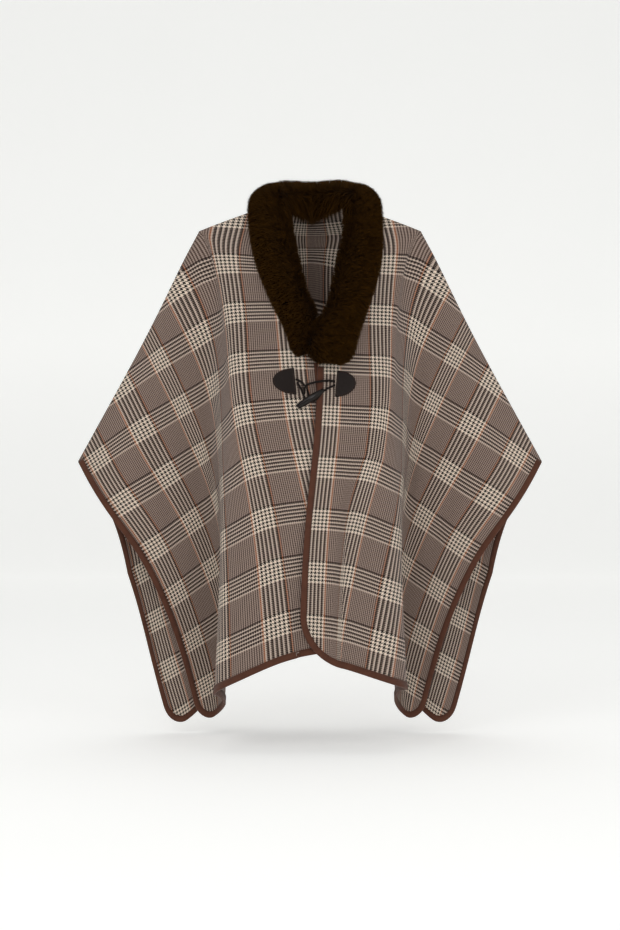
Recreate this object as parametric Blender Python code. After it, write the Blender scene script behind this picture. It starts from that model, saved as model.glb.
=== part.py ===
"""A worn poncho: three check-cloth panels cut flat and draped from the shoulder tips, with bound edges,
a fur shawl collar, two leather patches, cords and a toggle. Metres, +Z up, front towards -Y.
The origin is the middle of the shoulder line."""

import math

import bpy
import numpy as np
from mathutils import Matrix, Vector
from mathutils.geometry import delaunay_2d_cdt

# Cloth and tape
CLOTH = 0.002                 # wall of the wool cloth
SEAM_GAP = 0.0003             # clear space between pieces that meet
TAPE = 0.001                  # wall of the binding tape
TAPE_WIDTH = 0.012            # how far the binding reaches in from the edge
TAPE_CLEAR = 0.0007           # between cloth and tape
MESH_STEP = 0.037             # spacing of the points inside a panel
EDGE_STEP = 0.026             # spacing of the points along an edge

# Flat pattern of half a panel: u runs out from the middle, v runs down from the neck point
TIP_U, TIP_V = 0.22, 0.072    # shoulder tip
SEAM_SLOPE = math.radians(29)  # slope of the shoulder and overarm seam
SHOULDER_LENGTH = 0.149       # neck point to shoulder tip
OVERARM_LENGTH = 0.517        # shoulder tip to wrist point
HEM_V = 0.925                 # hem line
FRONT_NECK_V = 0.343          # foot of the front neckline, at the front edge
BACK_NECK_V = 0.02            # back neckline at the middle
FRONT_NECK_BEND = (0.040, 0.17)   # flat point where the front neckline bends
BACK_NECK_CURVE, BACK_NECK_LEVEL = 0.6, 0.25   # shares of NECK_U where the back neckline curves and runs level
SIDE_CORNER = 0.05            # corner radius at the side edge
FRONT_CORNER = 0.09           # corner radius at the front edge
UPPER_EDGE_U = 0.0            # front edge of the upper front
UNDER_EDGE_U = -0.03          # the under front reaches further across

SIDE_U = TIP_U + OVERARM_LENGTH * math.cos(SEAM_SLOPE)
WRIST_V = TIP_V + OVERARM_LENGTH * math.sin(SEAM_SLOPE)
NECK_U = TIP_U - SHOULDER_LENGTH * math.cos(SEAM_SLOPE)
NECK_V = TIP_V - SHOULDER_LENGTH * math.sin(SEAM_SLOPE)

# The worn form: the cloth hangs in rays that fan out from the shoulder tip
TIP_X, TIP_Z = 0.213, -0.026  # shoulder tip from the middle
TIP_ROUND = 0.025             # the depth starts softly this far from the tip
TIP_BLUR = 0.030              # folds narrower than this die out towards the tip
SEAM_FADE = math.radians(25)  # and the seams stay sharp
SHOULDER_OUT, SHOULDER_UP, SHOULDER_REACH = 0.009, 0.007, 0.17   # the shoulder fills the cloth round the tip
BLUR_TAPS = np.linspace(-1, 1, 7)
SEAM_HALF = CLOTH / 2 + SEAM_GAP
CHEST, CHEST_RADIUS, CHEST_SPREAD = 0.034, 0.36, 0.19   # forward swell of the chest
CHEST_ANGLE, CHEST_WIDTH = math.radians(101), math.radians(17)
CHEST_OUT = 0.024             # the swell also carries the cloth outward
SIDE_BOW, SIDE_BOW_FROM, SIDE_BOW_START = 0.030, 0.34, 0.4   # a front's side edge hangs in by this much
BACK_BOW, BACK_BOW_END = 0.012, 0.45   # and the back's only below the wrist
DRAW_IN, DRAW_IN_REACH = 0.040, 1.05    # the front ridges are drawn in at the body's side
DRAW_IN_ANGLE, DRAW_IN_WIDTH = math.radians(84), math.radians(9)
DRAW_IN_SPREAD = 0.020        # and is drawn in more broadly near the tip
LAP_U, LAP_V = (-0.25, 0.45), (0.0, 1.1)   # flat range searched for the cloth over a point
LAP_GAP, LAP_REACH = 0.008, 0.12   # the under front keeps this far behind the upper one
UPPER_TUCK = math.radians(5)  # cloth that the upper front hides in its side fold
TUCK_FROM, TUCK_SPAN = math.radians(65), math.radians(16)
TUCK_END, TUCK_FADE = math.radians(149), math.radians(52)

# Each row is one ray: its angle in the flat pattern (degrees), where it points in the worn form,
# and how far the cloth has dropped along it
FRONT_FAN = (
    # ray            flat   outward  back    down   drop
    ("overarm",      29.0,   0.484,  0.000,  0.875, 1.00),
    ("wing_upper",   40.0,   0.335, -0.030,  0.942, 1.00),
    ("wing_lower",   51.0,   0.165, -0.005,  0.986, 1.01),
    ("side_corner",  61.0,   0.025,  0.035,  0.999, 1.02),
    ("valley_outer", 64.0,  -0.016,  0.044,  0.998, 1.025),
    ("valley_inner", 68.5,  -0.042,  0.016,  0.996, 1.03),
    ("gusset",       75.0,  -0.036, -0.080,  0.996, 1.04),
    ("ridge",        82.0,  -0.020, -0.180,  0.983, 1.055),
    ("ridge_inner",  87.0,  -0.070, -0.210,  0.970, 1.045),
    ("chest_outer",  95.0,  -0.190, -0.205,  0.960, 1.012),
    ("front_low",   105.0,  -0.345, -0.203,  0.920, 1.00),
    ("front_high",  124.0,  -0.540, -0.330,  0.775, 1.00),
    ("neck_side",   148.0,  -0.750, -0.420,  0.510, 1.00),
    ("neck_point",  209.0,  -0.926,  0.000, -0.376, 1.00),
)
BACK_FAN = (
    # ray            flat   outward  back    down   drop
    ("overarm",      29.0,   0.484,  0.000,  0.875, 1.00),
    ("wing_upper",   40.0,   0.345,  0.060,  0.937, 1.00),
    ("wing_lower",   51.0,   0.200,  0.095,  0.975, 1.02),
    ("side_corner",  61.0,   0.085,  0.095,  0.991, 1.045),
    ("valley_outer", 65.0,   0.035,  0.088,  0.995, 1.045),
    ("valley_inner", 69.0,   0.003,  0.112,  0.994, 1.04),
    ("ridge_outer",  74.0,  -0.016,  0.182,  0.980, 1.03),
    ("ridge",        79.0,  -0.052,  0.220,  0.974, 1.03),
    ("ridge_inner",  84.0,  -0.095,  0.190,  0.977, 1.01),
    ("soft_valley",  89.5,  -0.132,  0.150,  0.980, 1.00),
    ("soft_ridge",   97.0,  -0.190,  0.190,  0.963, 1.00),
    ("middle_low",  104.5,  -0.242,  0.165,  0.956, 1.00),
    ("middle_high", 125.5,  -0.563,  0.370,  0.739, 1.00),
    ("yoke",        150.0,  -0.840,  0.490,  0.230, 1.00),
    ("nape",        193.0,  -0.900,  0.420, -0.150, 1.05),
    ("neck_point",  209.0,  -0.926,  0.050, -0.376, 1.00),
)
MIDDLE_SOFT = 0.09            # the back runs level across its middle over this width


def soft_step(value):
    """Smooth rise from 0 to 1 as the value goes from 0 to 1."""
    share = np.clip(value, 0.0, 1.0)
    return share * share * (3.0 - 2.0 * share)


def along_rows(keys, rows, at):
    """Smooth curve through the rows of a table, read at any key."""
    slopes = np.gradient(rows, keys, axis=0)
    low = np.clip(np.searchsorted(keys, at) - 1, 0, len(keys) - 2)
    span = (keys[low + 1] - keys[low])[..., None]
    t = ((at - keys[low])[..., None]) / span
    t = np.clip(t, -0.3, 1.3)
    start, end = rows[low], rows[low + 1]
    return ((1 + 2 * t) * (1 - t) ** 2 * start + t * (1 - t) ** 2 * span * slopes[low]
            + t * t * (3 - 2 * t) * end + t * t * (t - 1) * span * slopes[low + 1])


class Panel:
    """One cloth panel: a flat point (u, v) and its place in the worn form."""

    def __init__(self, fan, side, back=False, upper=None, tuck=0.0):
        flat = np.radians([row[1] for row in fan])
        tucked = soft_step((flat - TUCK_FROM) / TUCK_SPAN) * soft_step((TUCK_END - flat) / TUCK_FADE)
        self.keys = flat + tuck * tucked
        self.tuck = tuck
        self.rows = np.array([row[2:] for row in fan])
        self.side, self.back, self.upper = side, back, upper

    def ray_place(self, u, v):
        across, down = u - TIP_U, v - TIP_V
        reach = np.hypot(across, down)
        angle = np.arctan2(down, across)
        angle = np.where(angle < -1.0, angle + 2 * np.pi, angle)
        from_seam = soft_step((angle - SEAM_SLOPE) / SEAM_FADE)
        from_neck = soft_step((SEAM_SLOPE + np.pi - angle) / SEAM_FADE)
        blur = np.minimum(TIP_BLUR / (reach + TIP_BLUR / 2), SEAM_FADE) * from_seam * from_neck
        taps = [along_rows(self.keys, self.rows, angle + blur * share) for share in BLUR_TAPS]
        ray = sum(taps) / len(taps)
        way = ray[..., :3] / np.linalg.norm(ray[..., :3], axis=-1, keepdims=True)
        length = reach * ray[..., 3]
        filled = np.exp(-(reach / SHOULDER_REACH) ** 2)
        x = TIP_X + length * way[..., 0] + SHOULDER_OUT * filled
        y = length * way[..., 1] * reach / (reach + TIP_ROUND)
        z = TIP_Z - length * way[..., 2] + SHOULDER_UP * filled
        return x, y, z, reach, angle

    def place(self, u, v):
        u, v = np.asarray(u, float), np.asarray(v, float)
        fall = np.clip((v - WRIST_V) / (HEM_V - WRIST_V), 0, 1)
        if self.back:
            out = np.abs(u)
            half = np.where(out < MIDDLE_SOFT, (u * u / MIDDLE_SOFT + MIDDLE_SOFT) / 2, out)
            x, y, z, reach, angle = self.ray_place(half, v)
            middle = self.ray_place(np.full_like(u, MIDDLE_SOFT / 2), v)[0]
            x = x - middle * np.clip(1 - out / TIP_U, 0, 1) ** 2
            side = np.where(u < 0, -1.0, 1.0)
            y = y + SEAM_HALF
            bow = BACK_BOW * np.sin(np.pi * np.clip(fall / BACK_BOW_END, 0, 1))
        else:
            x, y, z, reach, angle = self.ray_place(u, v)
            swell = np.exp(-((reach - CHEST_RADIUS) / CHEST_SPREAD) ** 2)
            swell = swell * np.exp(-((angle - CHEST_ANGLE) / CHEST_WIDTH) ** 2)
            y = y - SEAM_HALF - CHEST * swell
            x = x + CHEST_OUT * swell
            drawn = np.sin(np.pi * np.clip(reach / DRAW_IN_REACH, 0, 1) ** 0.6)
            width = DRAW_IN_WIDTH + DRAW_IN_SPREAD / (reach + DRAW_IN_SPREAD)
            x = x - DRAW_IN * drawn * np.exp(-((angle - self.tuck - DRAW_IN_ANGLE) / width) ** 2)
            side, out = self.side, u
            bow = SIDE_BOW * np.sin(np.pi * fall) * soft_step(fall / SIDE_BOW_START)
        x = x - bow * soft_step((out - SIDE_BOW_FROM) / (SIDE_U - SIDE_BOW_FROM))
        if self.upper is not None:
            over_u, over_v = self.upper.under(side * x, z)
            over = self.upper.place(over_u, over_v)[..., 1] + LAP_GAP
            y = y + np.maximum(over - y, 0) * soft_step(over_u / LAP_REACH + 1) * (u < LAP_REACH)
        return np.stack([side * x, y, z], axis=-1)

    def facing(self, u, v):
        """Outward normal of the worn cloth at a flat point."""
        step = 0.004
        along_u = self.place(u + step, v) - self.place(u - step, v)
        along_v = self.place(u, v + step) - self.place(u, v - step)
        normal = np.cross(along_u, along_v)
        normal = normal / np.linalg.norm(normal, axis=-1, keepdims=True)
        return normal if self.back or self.side < 0 else -normal

    def lifted(self, u, v, height):
        u, v = np.asarray(u, float), np.asarray(v, float)
        return self.place(u, v) + self.facing(u, v) * np.asarray(height)[..., None]

    def under(self, x, z):
        """Flat point of a front that lies at this place seen from the front."""
        u = np.full_like(np.asarray(x, float), sum(LAP_U) / 2)
        v = TIP_V + TIP_Z - np.asarray(z, float)
        step = 0.001
        for _ in range(9):
            here = self.place(u, v)
            du = (self.place(u + step, v) - here) / step
            dv = (self.place(u, v + step) - here) / step
            turn = du[..., 0] * dv[..., 2] - dv[..., 0] * du[..., 2]
            miss_x, miss_z = x - here[..., 0], z - here[..., 2]
            u = np.clip(u + (miss_x * dv[..., 2] - dv[..., 0] * miss_z) / turn, *LAP_U)
            v = np.clip(v + (du[..., 0] * miss_z - miss_x * du[..., 2]) / turn, *LAP_V)
        return u, v


def corner_arc(middle_u, middle_v, radius, start, end, count):
    """Points round a corner of the flat pattern, angles in degrees from +u towards +v."""
    angles = np.radians(np.linspace(start, end, count))
    return [(middle_u + radius * math.cos(a), middle_v + radius * math.sin(a)) for a in angles]


def walk(points, step):
    """Points along a flat outline, no more than a step apart, its own points kept."""
    out = [points[0]]
    for a, b in zip(points, points[1:]):
        count = max(1, math.ceil(math.dist(a, b) / step))
        out += [(a[0] + (b[0] - a[0]) * k / count, a[1] + (b[1] - a[1]) * k / count)
                for k in range(1, count + 1)]
    return out


def bound_edge_front(edge_u):
    """Flat line of a front's bound edge: front edge, hem and side edge."""
    line = [(edge_u, FRONT_NECK_V + EDGE_STEP)]
    line += corner_arc(edge_u + FRONT_CORNER, HEM_V - FRONT_CORNER, FRONT_CORNER, 180, 90, 8)
    line += corner_arc(SIDE_U - SIDE_CORNER, HEM_V - SIDE_CORNER, SIDE_CORNER, 90, 0, 7)
    line += [(SIDE_U, WRIST_V + EDGE_STEP / 2)]
    return walk(line, EDGE_STEP)


def bound_edge_back():
    """Flat line of the back's bound edge: side edge, hem and the other side edge."""
    half = [(0.0, HEM_V)]
    half += corner_arc(SIDE_U - SIDE_CORNER, HEM_V - SIDE_CORNER, SIDE_CORNER, 90, 0, 7)
    half += [(SIDE_U, WRIST_V + EDGE_STEP / 2)]
    half = walk(half, EDGE_STEP)
    return [(-u, v) for u, v in reversed(half[1:])] + half


def inward(line):
    """Flat points a tape's width in from each point of a bound edge, panel on the left of the line."""
    line = np.array(line)
    ahead = np.gradient(line, axis=0)
    ahead /= np.linalg.norm(ahead, axis=1, keepdims=True)
    return line + TAPE_WIDTH * np.stack([ahead[:, 1], -ahead[:, 0]], axis=1)


def seam_front(edge_u):
    """Flat line of a front's sewn edge: wrist point, shoulder tip, neck point, foot of the neckline."""
    line = [(SIDE_U, WRIST_V), (TIP_U, TIP_V), (NECK_U, NECK_V)]
    line += [FRONT_NECK_BEND, (edge_u, FRONT_NECK_V)]
    return walk(line, EDGE_STEP)


def seam_back():
    """Flat line of the back's sewn edge: wrist point, shoulder, back neckline and across."""
    half = walk([(SIDE_U, WRIST_V), (TIP_U, TIP_V), (NECK_U, NECK_V)], EDGE_STEP)
    half += [(NECK_U * BACK_NECK_CURVE, NECK_V + BACK_NECK_CURVE * (BACK_NECK_V - NECK_V)),
             (NECK_U * BACK_NECK_LEVEL, BACK_NECK_V)]
    return half + [(-u, v) for u, v in reversed(half)]


def cut_flat(seam, edge, marks):
    """The panel cut flat and filled with points: flat points and triangles, with the marked points kept."""
    outline = edge + seam
    rim = [tuple(p) for p in inward(edge)]
    count, width = len(outline), len(rim)
    points = outline + rim
    edges = [(k, (k + 1) % count) for k in range(count)]
    edges += [(count + k, count + k + 1) for k in range(width - 1)]
    ring = np.array(outline)
    low, high = ring.min(axis=0), ring.max(axis=0)
    closed = np.vstack([ring, ring[:1]])
    border = np.vstack([ring, np.array(rim), *marks])
    points += [tuple(p) for mark in marks for p in mark]
    row_gap = MESH_STEP * math.sqrt(3) / 2
    for j in range(int((high[1] - low[1]) / row_gap) + 1):
        for i in range(int((high[0] - low[0]) / MESH_STEP) + 2):
            u = low[0] + (i + 0.5 * (j % 2)) * MESH_STEP
            v = low[1] + j * row_gap
            crossed = (closed[:-1, 1] > v) != (closed[1:, 1] > v)
            a, b = closed[:-1][crossed], closed[1:][crossed]
            right = a[:, 0] + (v - a[:, 1]) / (b[:, 1] - a[:, 1]) * (b[:, 0] - a[:, 0]) > u
            clear = np.min(np.hypot(border[:, 0] - u, border[:, 1] - v)) > MESH_STEP * 0.55
            if right.sum() % 2 and clear:
                points.append((u, v))
    flat = delaunay_2d_cdt([Vector(p) for p in points], edges, [], 1, 1e-7)
    return np.array([tuple(p) for p in flat[0]]), [tuple(face) for face in flat[2]]


def new_object(name, verts, faces, colour, roughness):
    mesh = bpy.data.meshes.new(name)
    mesh.from_pydata([tuple(v) for v in verts], [], faces)
    mesh.update()
    mesh.shade_smooth()
    item = bpy.data.objects.new(name, mesh)
    parts.objects.link(item)
    item.data.materials.append(finish(name, colour, roughness))
    return item


def finish(name, colour, roughness):
    material = bpy.data.materials.new(name)
    material.use_nodes = True
    shader = material.node_tree.nodes["Principled BSDF"]
    shader.inputs["Base Color"].default_value = (*colour, 1.0)
    shader.inputs["Roughness"].default_value = roughness
    shader.inputs["Metallic"].default_value = 0.0
    return material


def cloth_panel(name, panel, seam, edge, marks=()):
    """Both faces of the cloth, half its wall each side of the worn form, closed round the rim."""
    flat, faces = cut_flat(seam, edge, marks)
    count = len(flat)
    half = np.full(count, CLOTH / 2)
    verts = np.vstack([panel.lifted(flat[:, 0], flat[:, 1], half), panel.lifted(flat[:, 0], flat[:, 1], -half)])
    sides = {}
    for face in faces:
        for a, b in zip(face, face[1:] + face[:1]):
            sides[(a, b)] = True
    rim = [(b, a, a + count, b + count) for a, b in sides if (b, a) not in sides]
    inside = [tuple(count + k for k in reversed(face)) for face in faces]
    item = new_object(name, verts, faces + inside + rim, CHECK_BROWN, 0.95)
    outward_faces(item)
    return item


def loft(sections):
    """Points and faces of a closed tube through like sections, each a ring of points."""
    count, ring = len(sections), len(sections[0])
    faces = []
    for s in range(count - 1):
        for k in range(ring):
            n = (k + 1) % ring
            faces.append((s * ring + k, s * ring + n, (s + 1) * ring + n, (s + 1) * ring + k))
    faces.append(tuple(reversed(range(ring))))
    faces.append(tuple(range((count - 1) * ring, count * ring)))
    return [p for section in sections for p in section], faces


def outward_faces(item):
    """Turn the faces of a closed mesh outwards if its volume comes out negative."""
    mesh = item.data
    mesh.calc_loop_triangles()
    volume = 0.0
    for tri in mesh.loop_triangles:
        a, b, c = (mesh.vertices[i].co for i in tri.vertices)
        volume += a.dot(b.cross(c))
    if volume < 0:
        mesh.flip_normals()


def binding(name, panel, edge):
    """Tape folded round a bound edge, made from the panel's edge points moved out."""
    edge_flat, rim_flat = np.array(edge), inward(edge)
    near, far = CLOTH / 2 + TAPE_CLEAR, CLOTH / 2 + TAPE_CLEAR + TAPE
    at_edge = panel.place(edge_flat[:, 0], edge_flat[:, 1])
    at_rim = panel.place(rim_flat[:, 0], rim_flat[:, 1])
    edge_up = panel.facing(edge_flat[:, 0], edge_flat[:, 1])
    rim_up = panel.facing(rim_flat[:, 0], rim_flat[:, 1])
    out = at_edge - at_rim
    out /= np.linalg.norm(out, axis=1, keepdims=True)
    sections = []
    for e, r, eu, ru, o in zip(at_edge, at_rim, edge_up, rim_up, out):
        sections.append([r + ru * far, e + eu * far + o * TAPE, e - eu * far + o * TAPE, r - ru * far,
                         r - ru * near, e - eu * near + o * TAPE_CLEAR, e + eu * near + o * TAPE_CLEAR,
                         r + ru * near])
    item = new_object(name, *loft(sections), TAPE_BROWN, 0.8)
    outward_faces(item)
    return item


def patch_rings(panel, outline):
    """Flat outline of a patch on its panel, and the same drawn in twice."""
    seen = np.array(outline)
    flat = np.stack(panel.under(seen[:, 0], seen[:, 1]), axis=1)
    middle = flat.mean(axis=0)
    return [middle + share * (flat - middle) for share in (1.0, 0.8, 0.4)]


def leather_patch(name, panel, rings):
    """D-shaped leather tab laid on a front, made from the panel's points moved out."""
    low = CLOTH / 2 + 2 * SEAM_GAP
    high = low + LEATHER
    levels = ((rings[2], low), (rings[0], low), (rings[0], high - LEATHER_EDGE), (rings[1], high),
              (rings[2], high))
    sections = [panel.lifted(ring[:, 0], ring[:, 1], np.full(len(ring), level)) for ring, level in levels]
    item = new_object(name, *loft(sections), LEATHER_BROWN, 0.45)
    outward_faces(item)
    return item


def d_outline(flat_x, middle_z, half_height, round_x, lean):
    """Outline of a D-shaped tab: half an oval and the flat side back to its start, leaning a little."""
    angles = np.linspace(-np.pi / 2, np.pi / 2, 11)
    bow = [((round_x - flat_x) * math.cos(a), half_height * math.sin(a)) for a in angles]
    flat = [(0.0, half_height * share) for share in (0.6, 0.2, -0.2, -0.6)]
    return [(flat_x + out + lean * up, middle_z + up) for out, up in bow + flat]


def cord(name, points, radius):
    """Round cord through its points."""
    keys = np.arange(len(points), dtype=float)
    fine = np.linspace(0, len(points) - 1, 3 * (len(points) - 1) + 1)
    path = along_rows(keys, np.array(points), fine)
    curve = bpy.data.curves.new(name, "CURVE")
    curve.dimensions = "3D"
    curve.bevel_depth = radius
    curve.bevel_resolution = 2
    curve.use_fill_caps = True
    spline = curve.splines.new("POLY")
    spline.points.add(len(path) - 1)
    for point, place in zip(spline.points, path):
        point.co = (*place, 1.0)
    item = bpy.data.objects.new(name, curve)
    parts.objects.link(item)
    curve.materials.append(finish(name, CORD_BLACK, 0.7))
    return item


for leftover in list(bpy.data.objects):
    bpy.data.objects.remove(leftover, do_unlink=True)
parts = bpy.data.collections.new("poncho")
bpy.context.scene.collection.children.link(parts)

CHECK_BROWN = (0.20, 0.14, 0.11)
TAPE_BROWN = (0.065, 0.020, 0.010)
FUR_BROWN = (0.022, 0.010, 0.003)
LEATHER_BROWN = (0.020, 0.013, 0.012)
CORD_BLACK = (0.012, 0.009, 0.008)
HORN_BLACK = (0.006, 0.005, 0.005)

# Cloth panels; the wearer's left front laps over the right one. The patches are marked on the fronts,
# by the middle of the flat side, the tip of the round side and the lean, seen from the front
LEATHER, LEATHER_EDGE = 0.0025, 0.0006
PATCH_HALF_HEIGHT = 0.0255
back_panel = Panel(BACK_FAN, 1, back=True)
left_front = Panel(FRONT_FAN, 1, tuck=UPPER_TUCK)
right_front = Panel(FRONT_FAN, -1, upper=left_front)
right_mark = patch_rings(right_front, d_outline(-0.0277, -0.3240, PATCH_HALF_HEIGHT, -0.0715, -0.10))
left_mark = patch_rings(left_front, d_outline(0.050, -0.3284, PATCH_HALF_HEIGHT, 0.089, 0.08))
cloth_panel("back_panel", back_panel, seam_back(), bound_edge_back())
cloth_panel("right_front", right_front, seam_front(UNDER_EDGE_U), bound_edge_front(UNDER_EDGE_U), right_mark)
cloth_panel("left_front", left_front, seam_front(UPPER_EDGE_U), bound_edge_front(UPPER_EDGE_U), left_mark)

# Binding round the open edges
binding("back_binding", back_panel, bound_edge_back())
binding("right_front_binding", right_front, bound_edge_front(UNDER_EDGE_U))
binding("left_front_binding", left_front, bound_edge_front(UPPER_EDGE_U))

# Leather patches
leather_patch("right_patch", right_front, right_mark)
leather_patch("left_patch", left_front, left_mark)

# Fur collar: a row for each section, from the wearer's right end round the nape to the left end.
# The inner and outer edges lie on the cloth and the pile rises to the crown between them
COLLAR = (
    # section           inner x   y       z       outer x   y       z      crown
    ("right_cap",      (-0.008, -0.112, -0.273), (-0.024, -0.107, -0.276), 0.007),
    ("right_end",      (0.002, -0.115, -0.256), (-0.036, -0.101, -0.261), 0.013),
    ("right_low",      (0.018, -0.113, -0.196), (-0.051, -0.090, -0.216), 0.022),
    ("right_breast",   (-0.001, -0.108, -0.146), (-0.077, -0.074, -0.158), 0.028),
    ("right_chest",    (-0.016, -0.079, -0.093), (-0.103, -0.0535, -0.092), 0.031),
    ("right_upper",    (-0.030, -0.047, -0.031), (-0.116, -0.029, -0.034), 0.037),
    ("right_shoulder", (-0.044, -0.006, 0.048), (-0.119, 0.000, 0.028), 0.028),
    ("right_back",     (-0.042, 0.035, 0.030), (-0.082, 0.068, 0.019), 0.067),
    ("nape",           (0.006, 0.061, 0.0170), (0.008, 0.101, 0.001), 0.089),
    ("left_back",      (0.054, 0.029, 0.031), (0.098, 0.066, 0.019), 0.066),
    ("left_shoulder",  (0.069, -0.008, 0.047), (0.137, 0.000, 0.026), 0.030),
    ("left_upper",     (0.062, -0.049, -0.028), (0.140, -0.028, -0.034), 0.037),
    ("left_chest",     (0.049, -0.075, -0.085), (0.138, -0.046, -0.085), 0.031),
    ("left_breast",    (0.037, -0.102, -0.140), (0.123, -0.066, -0.142), 0.029),
    ("left_low",       (0.022, -0.130, -0.188), (0.103, -0.079, -0.195), 0.028),
    ("left_tip",       (-0.014, -0.152, -0.240), (0.089, -0.092, -0.242), 0.028),
    ("left_end",       (-0.010, -0.151, -0.271), (0.081, -0.103, -0.273), 0.023),
    ("left_cap",       (0.016, -0.144, -0.291), (0.058, -0.120, -0.291), 0.010),
)
COLLAR_STEPS = 3              # sections worked out between two rows
COLLAR_ROUND = 0.65           # fullness of the crown at its edges
COLLAR_LIES_BELOW = -0.02     # below this height it lies on the fronts
COLLAR_SEAT = CLOTH / 2 + 0.0022   # its underside to the middle of the cloth
COLLAR_FEELERS = np.linspace(0, 0.8, 9)


def collar_push(inner, outer):
    """How far each section has to come forward to lie on the front under it, seen from the front."""
    feelers = outer[:, None] + COLLAR_FEELERS[None, :, None] * (inner - outer)[:, None]
    push = np.zeros(len(inner))
    for panel, here in ((right_front, outer[:, 0] < 0), (left_front, outer[:, 0] > 0)):
        here = here & (outer[:, 2] < COLLAR_LIES_BELOW)
        x, y, z = np.moveaxis(feelers[here], -1, 0)
        u, v = panel.under(x, z)
        need = np.where(u > 0, panel.place(u, v)[..., 1] - COLLAR_SEAT - y, 0.0)
        push[here] = np.minimum(need.min(axis=1), 0.0)
    return push


def collar_sections():
    rows = np.array([(*row[1], *row[2], row[3]) for row in COLLAR])
    keys = np.arange(len(rows), dtype=float)
    fine = along_rows(keys, rows, np.linspace(0, len(rows) - 1, COLLAR_STEPS * (len(rows) - 1) + 1))
    inner, outer, crown = fine[:, 0:3], fine[:, 3:6], fine[:, 6:7]
    push = collar_push(inner, outer)
    inner[:, 1] += push
    outer[:, 1] += push
    middle, half = (inner + outer) / 2, (inner - outer) / 2
    ahead = np.gradient(middle, axis=0)
    rise = np.cross(half, ahead)
    rise /= np.linalg.norm(rise, axis=1, keepdims=True)
    angles = np.linspace(0, np.pi, 10)
    return [[m + h * math.cos(a) + r * c * math.sin(a) ** COLLAR_ROUND for a in angles]
            for m, h, r, c in zip(middle, half, rise, crown)]


outward_faces(new_object("fur_collar", *loft(collar_sections()), FUR_BROWN, 1.0))

# Toggle: a turned bar, thickest before the middle and slimmer to one end
TOGGLE_PLACE, TOGGLE_TURN = (0.0014, -0.1386, -0.3579), math.radians(33)
TOGGLE_LENGTH, TOGGLE_SIDES = 0.061, 14
TOGGLE_PROFILE = (
    # along   radius
    (-0.500, 0.0030),
    (-0.470, 0.0050),
    (-0.300, 0.0062),
    (-0.060, 0.0070),
    (0.100, 0.0068),
    (0.300, 0.0054),
    (0.470, 0.0038),
    (0.500, 0.0020),
)
turns = np.linspace(0, 2 * np.pi, TOGGLE_SIDES, endpoint=False)
rings = [[(along * TOGGLE_LENGTH, radius * math.cos(a), radius * math.sin(a)) for a in turns]
         for along, radius in TOGGLE_PROFILE]
toggle = new_object("toggle", *loft(rings), HORN_BLACK, 0.2)
outward_faces(toggle)
toggle.matrix_world = Matrix.Translation(TOGGLE_PLACE) @ Matrix.Rotation(-TOGGLE_TURN, 4, "Y")

# Cords: two strands from the right patch carry the toggle, and a loop from the left patch goes round it
CORD_RADIUS = 0.0022
cord("right_cord_upper", (
    (-0.0270, -0.1226, -0.3200), (-0.0203, -0.1263, -0.3237), (-0.0115, -0.1252, -0.3309),
    (-0.0058, -0.1236, -0.3400), (-0.0016, -0.1324, -0.3533)), CORD_RADIUS)
cord("right_cord_lower", (
    (-0.0258, -0.1240, -0.3284), (-0.0212, -0.1254, -0.3322), (-0.0172, -0.1277, -0.3398),
    (-0.0140, -0.1317, -0.3480), (-0.0099, -0.1352, -0.3570)), CORD_RADIUS)
cord("left_loop", (
    (0.0482, -0.1101, -0.3236), (0.0341, -0.1164, -0.3226), (0.0189, -0.1253, -0.3246),
    (0.0037, -0.1262, -0.3278), (-0.0074, -0.1300, -0.3328), (-0.0105, -0.1280, -0.3411),
    (-0.0087, -0.1235, -0.3537), (0.0018, -0.1250, -0.3641), (0.0139, -0.1289, -0.3575),
    (0.0265, -0.1231, -0.3430), (0.0379, -0.1158, -0.3360), (0.0482, -0.1108, -0.3316)), CORD_RADIUS)
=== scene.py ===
"""A worn poncho in glen check wool with bound edges, a fur shawl collar and a toggle fastening.
Metres, +Z up, front towards -Y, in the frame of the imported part."""

import math

import bpy
import numpy as np
from mathutils import Matrix, Vector
from mathutils.geometry import delaunay_2d_cdt


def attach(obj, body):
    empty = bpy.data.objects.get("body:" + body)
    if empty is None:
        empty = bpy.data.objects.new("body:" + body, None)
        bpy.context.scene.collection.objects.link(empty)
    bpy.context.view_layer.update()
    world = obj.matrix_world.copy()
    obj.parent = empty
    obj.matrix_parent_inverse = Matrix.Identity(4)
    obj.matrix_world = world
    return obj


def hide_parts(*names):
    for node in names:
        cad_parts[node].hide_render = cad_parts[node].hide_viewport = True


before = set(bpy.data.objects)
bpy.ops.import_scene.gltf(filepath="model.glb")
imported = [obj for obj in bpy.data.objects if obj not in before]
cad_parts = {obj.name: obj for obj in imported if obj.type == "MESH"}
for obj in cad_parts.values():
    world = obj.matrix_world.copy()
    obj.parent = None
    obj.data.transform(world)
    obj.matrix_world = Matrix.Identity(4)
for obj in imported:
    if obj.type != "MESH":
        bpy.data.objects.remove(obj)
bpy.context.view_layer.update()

# Back panel. One wide piece of woollen glen check in a 2/2 twill, cut straight at the hem with round
# side corners. It hangs from the shoulders in rays that fan out from the shoulder tips, so each flat point
# of the cut has one place in the worn cloth.
CLOTH = 0.002   # wall of the wool cloth
SEAM_HALF = CLOTH / 2 + 0.0003  # half the cloth and the gap at a seam
MESH_STEP = 0.0075   # spacing of the points inside a panel
EDGE_STEP = 0.0065   # spacing of the points along an edge
EDGE_CLEAR = 0.55   # share of the spacing that the points inside keep from the edge
ROW_OVERRUN = 0.3   # share of a table's step that may be read beyond its ends
SAME_POINT = 1e-7   # flat points nearer than this are one
FACING_STEP = 0.004   # spacing of the points that a normal is worked out from
TIP_U, TIP_V = 0.22, 0.072   # shoulder tip in the flat cut, u from the middle and v down
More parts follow.
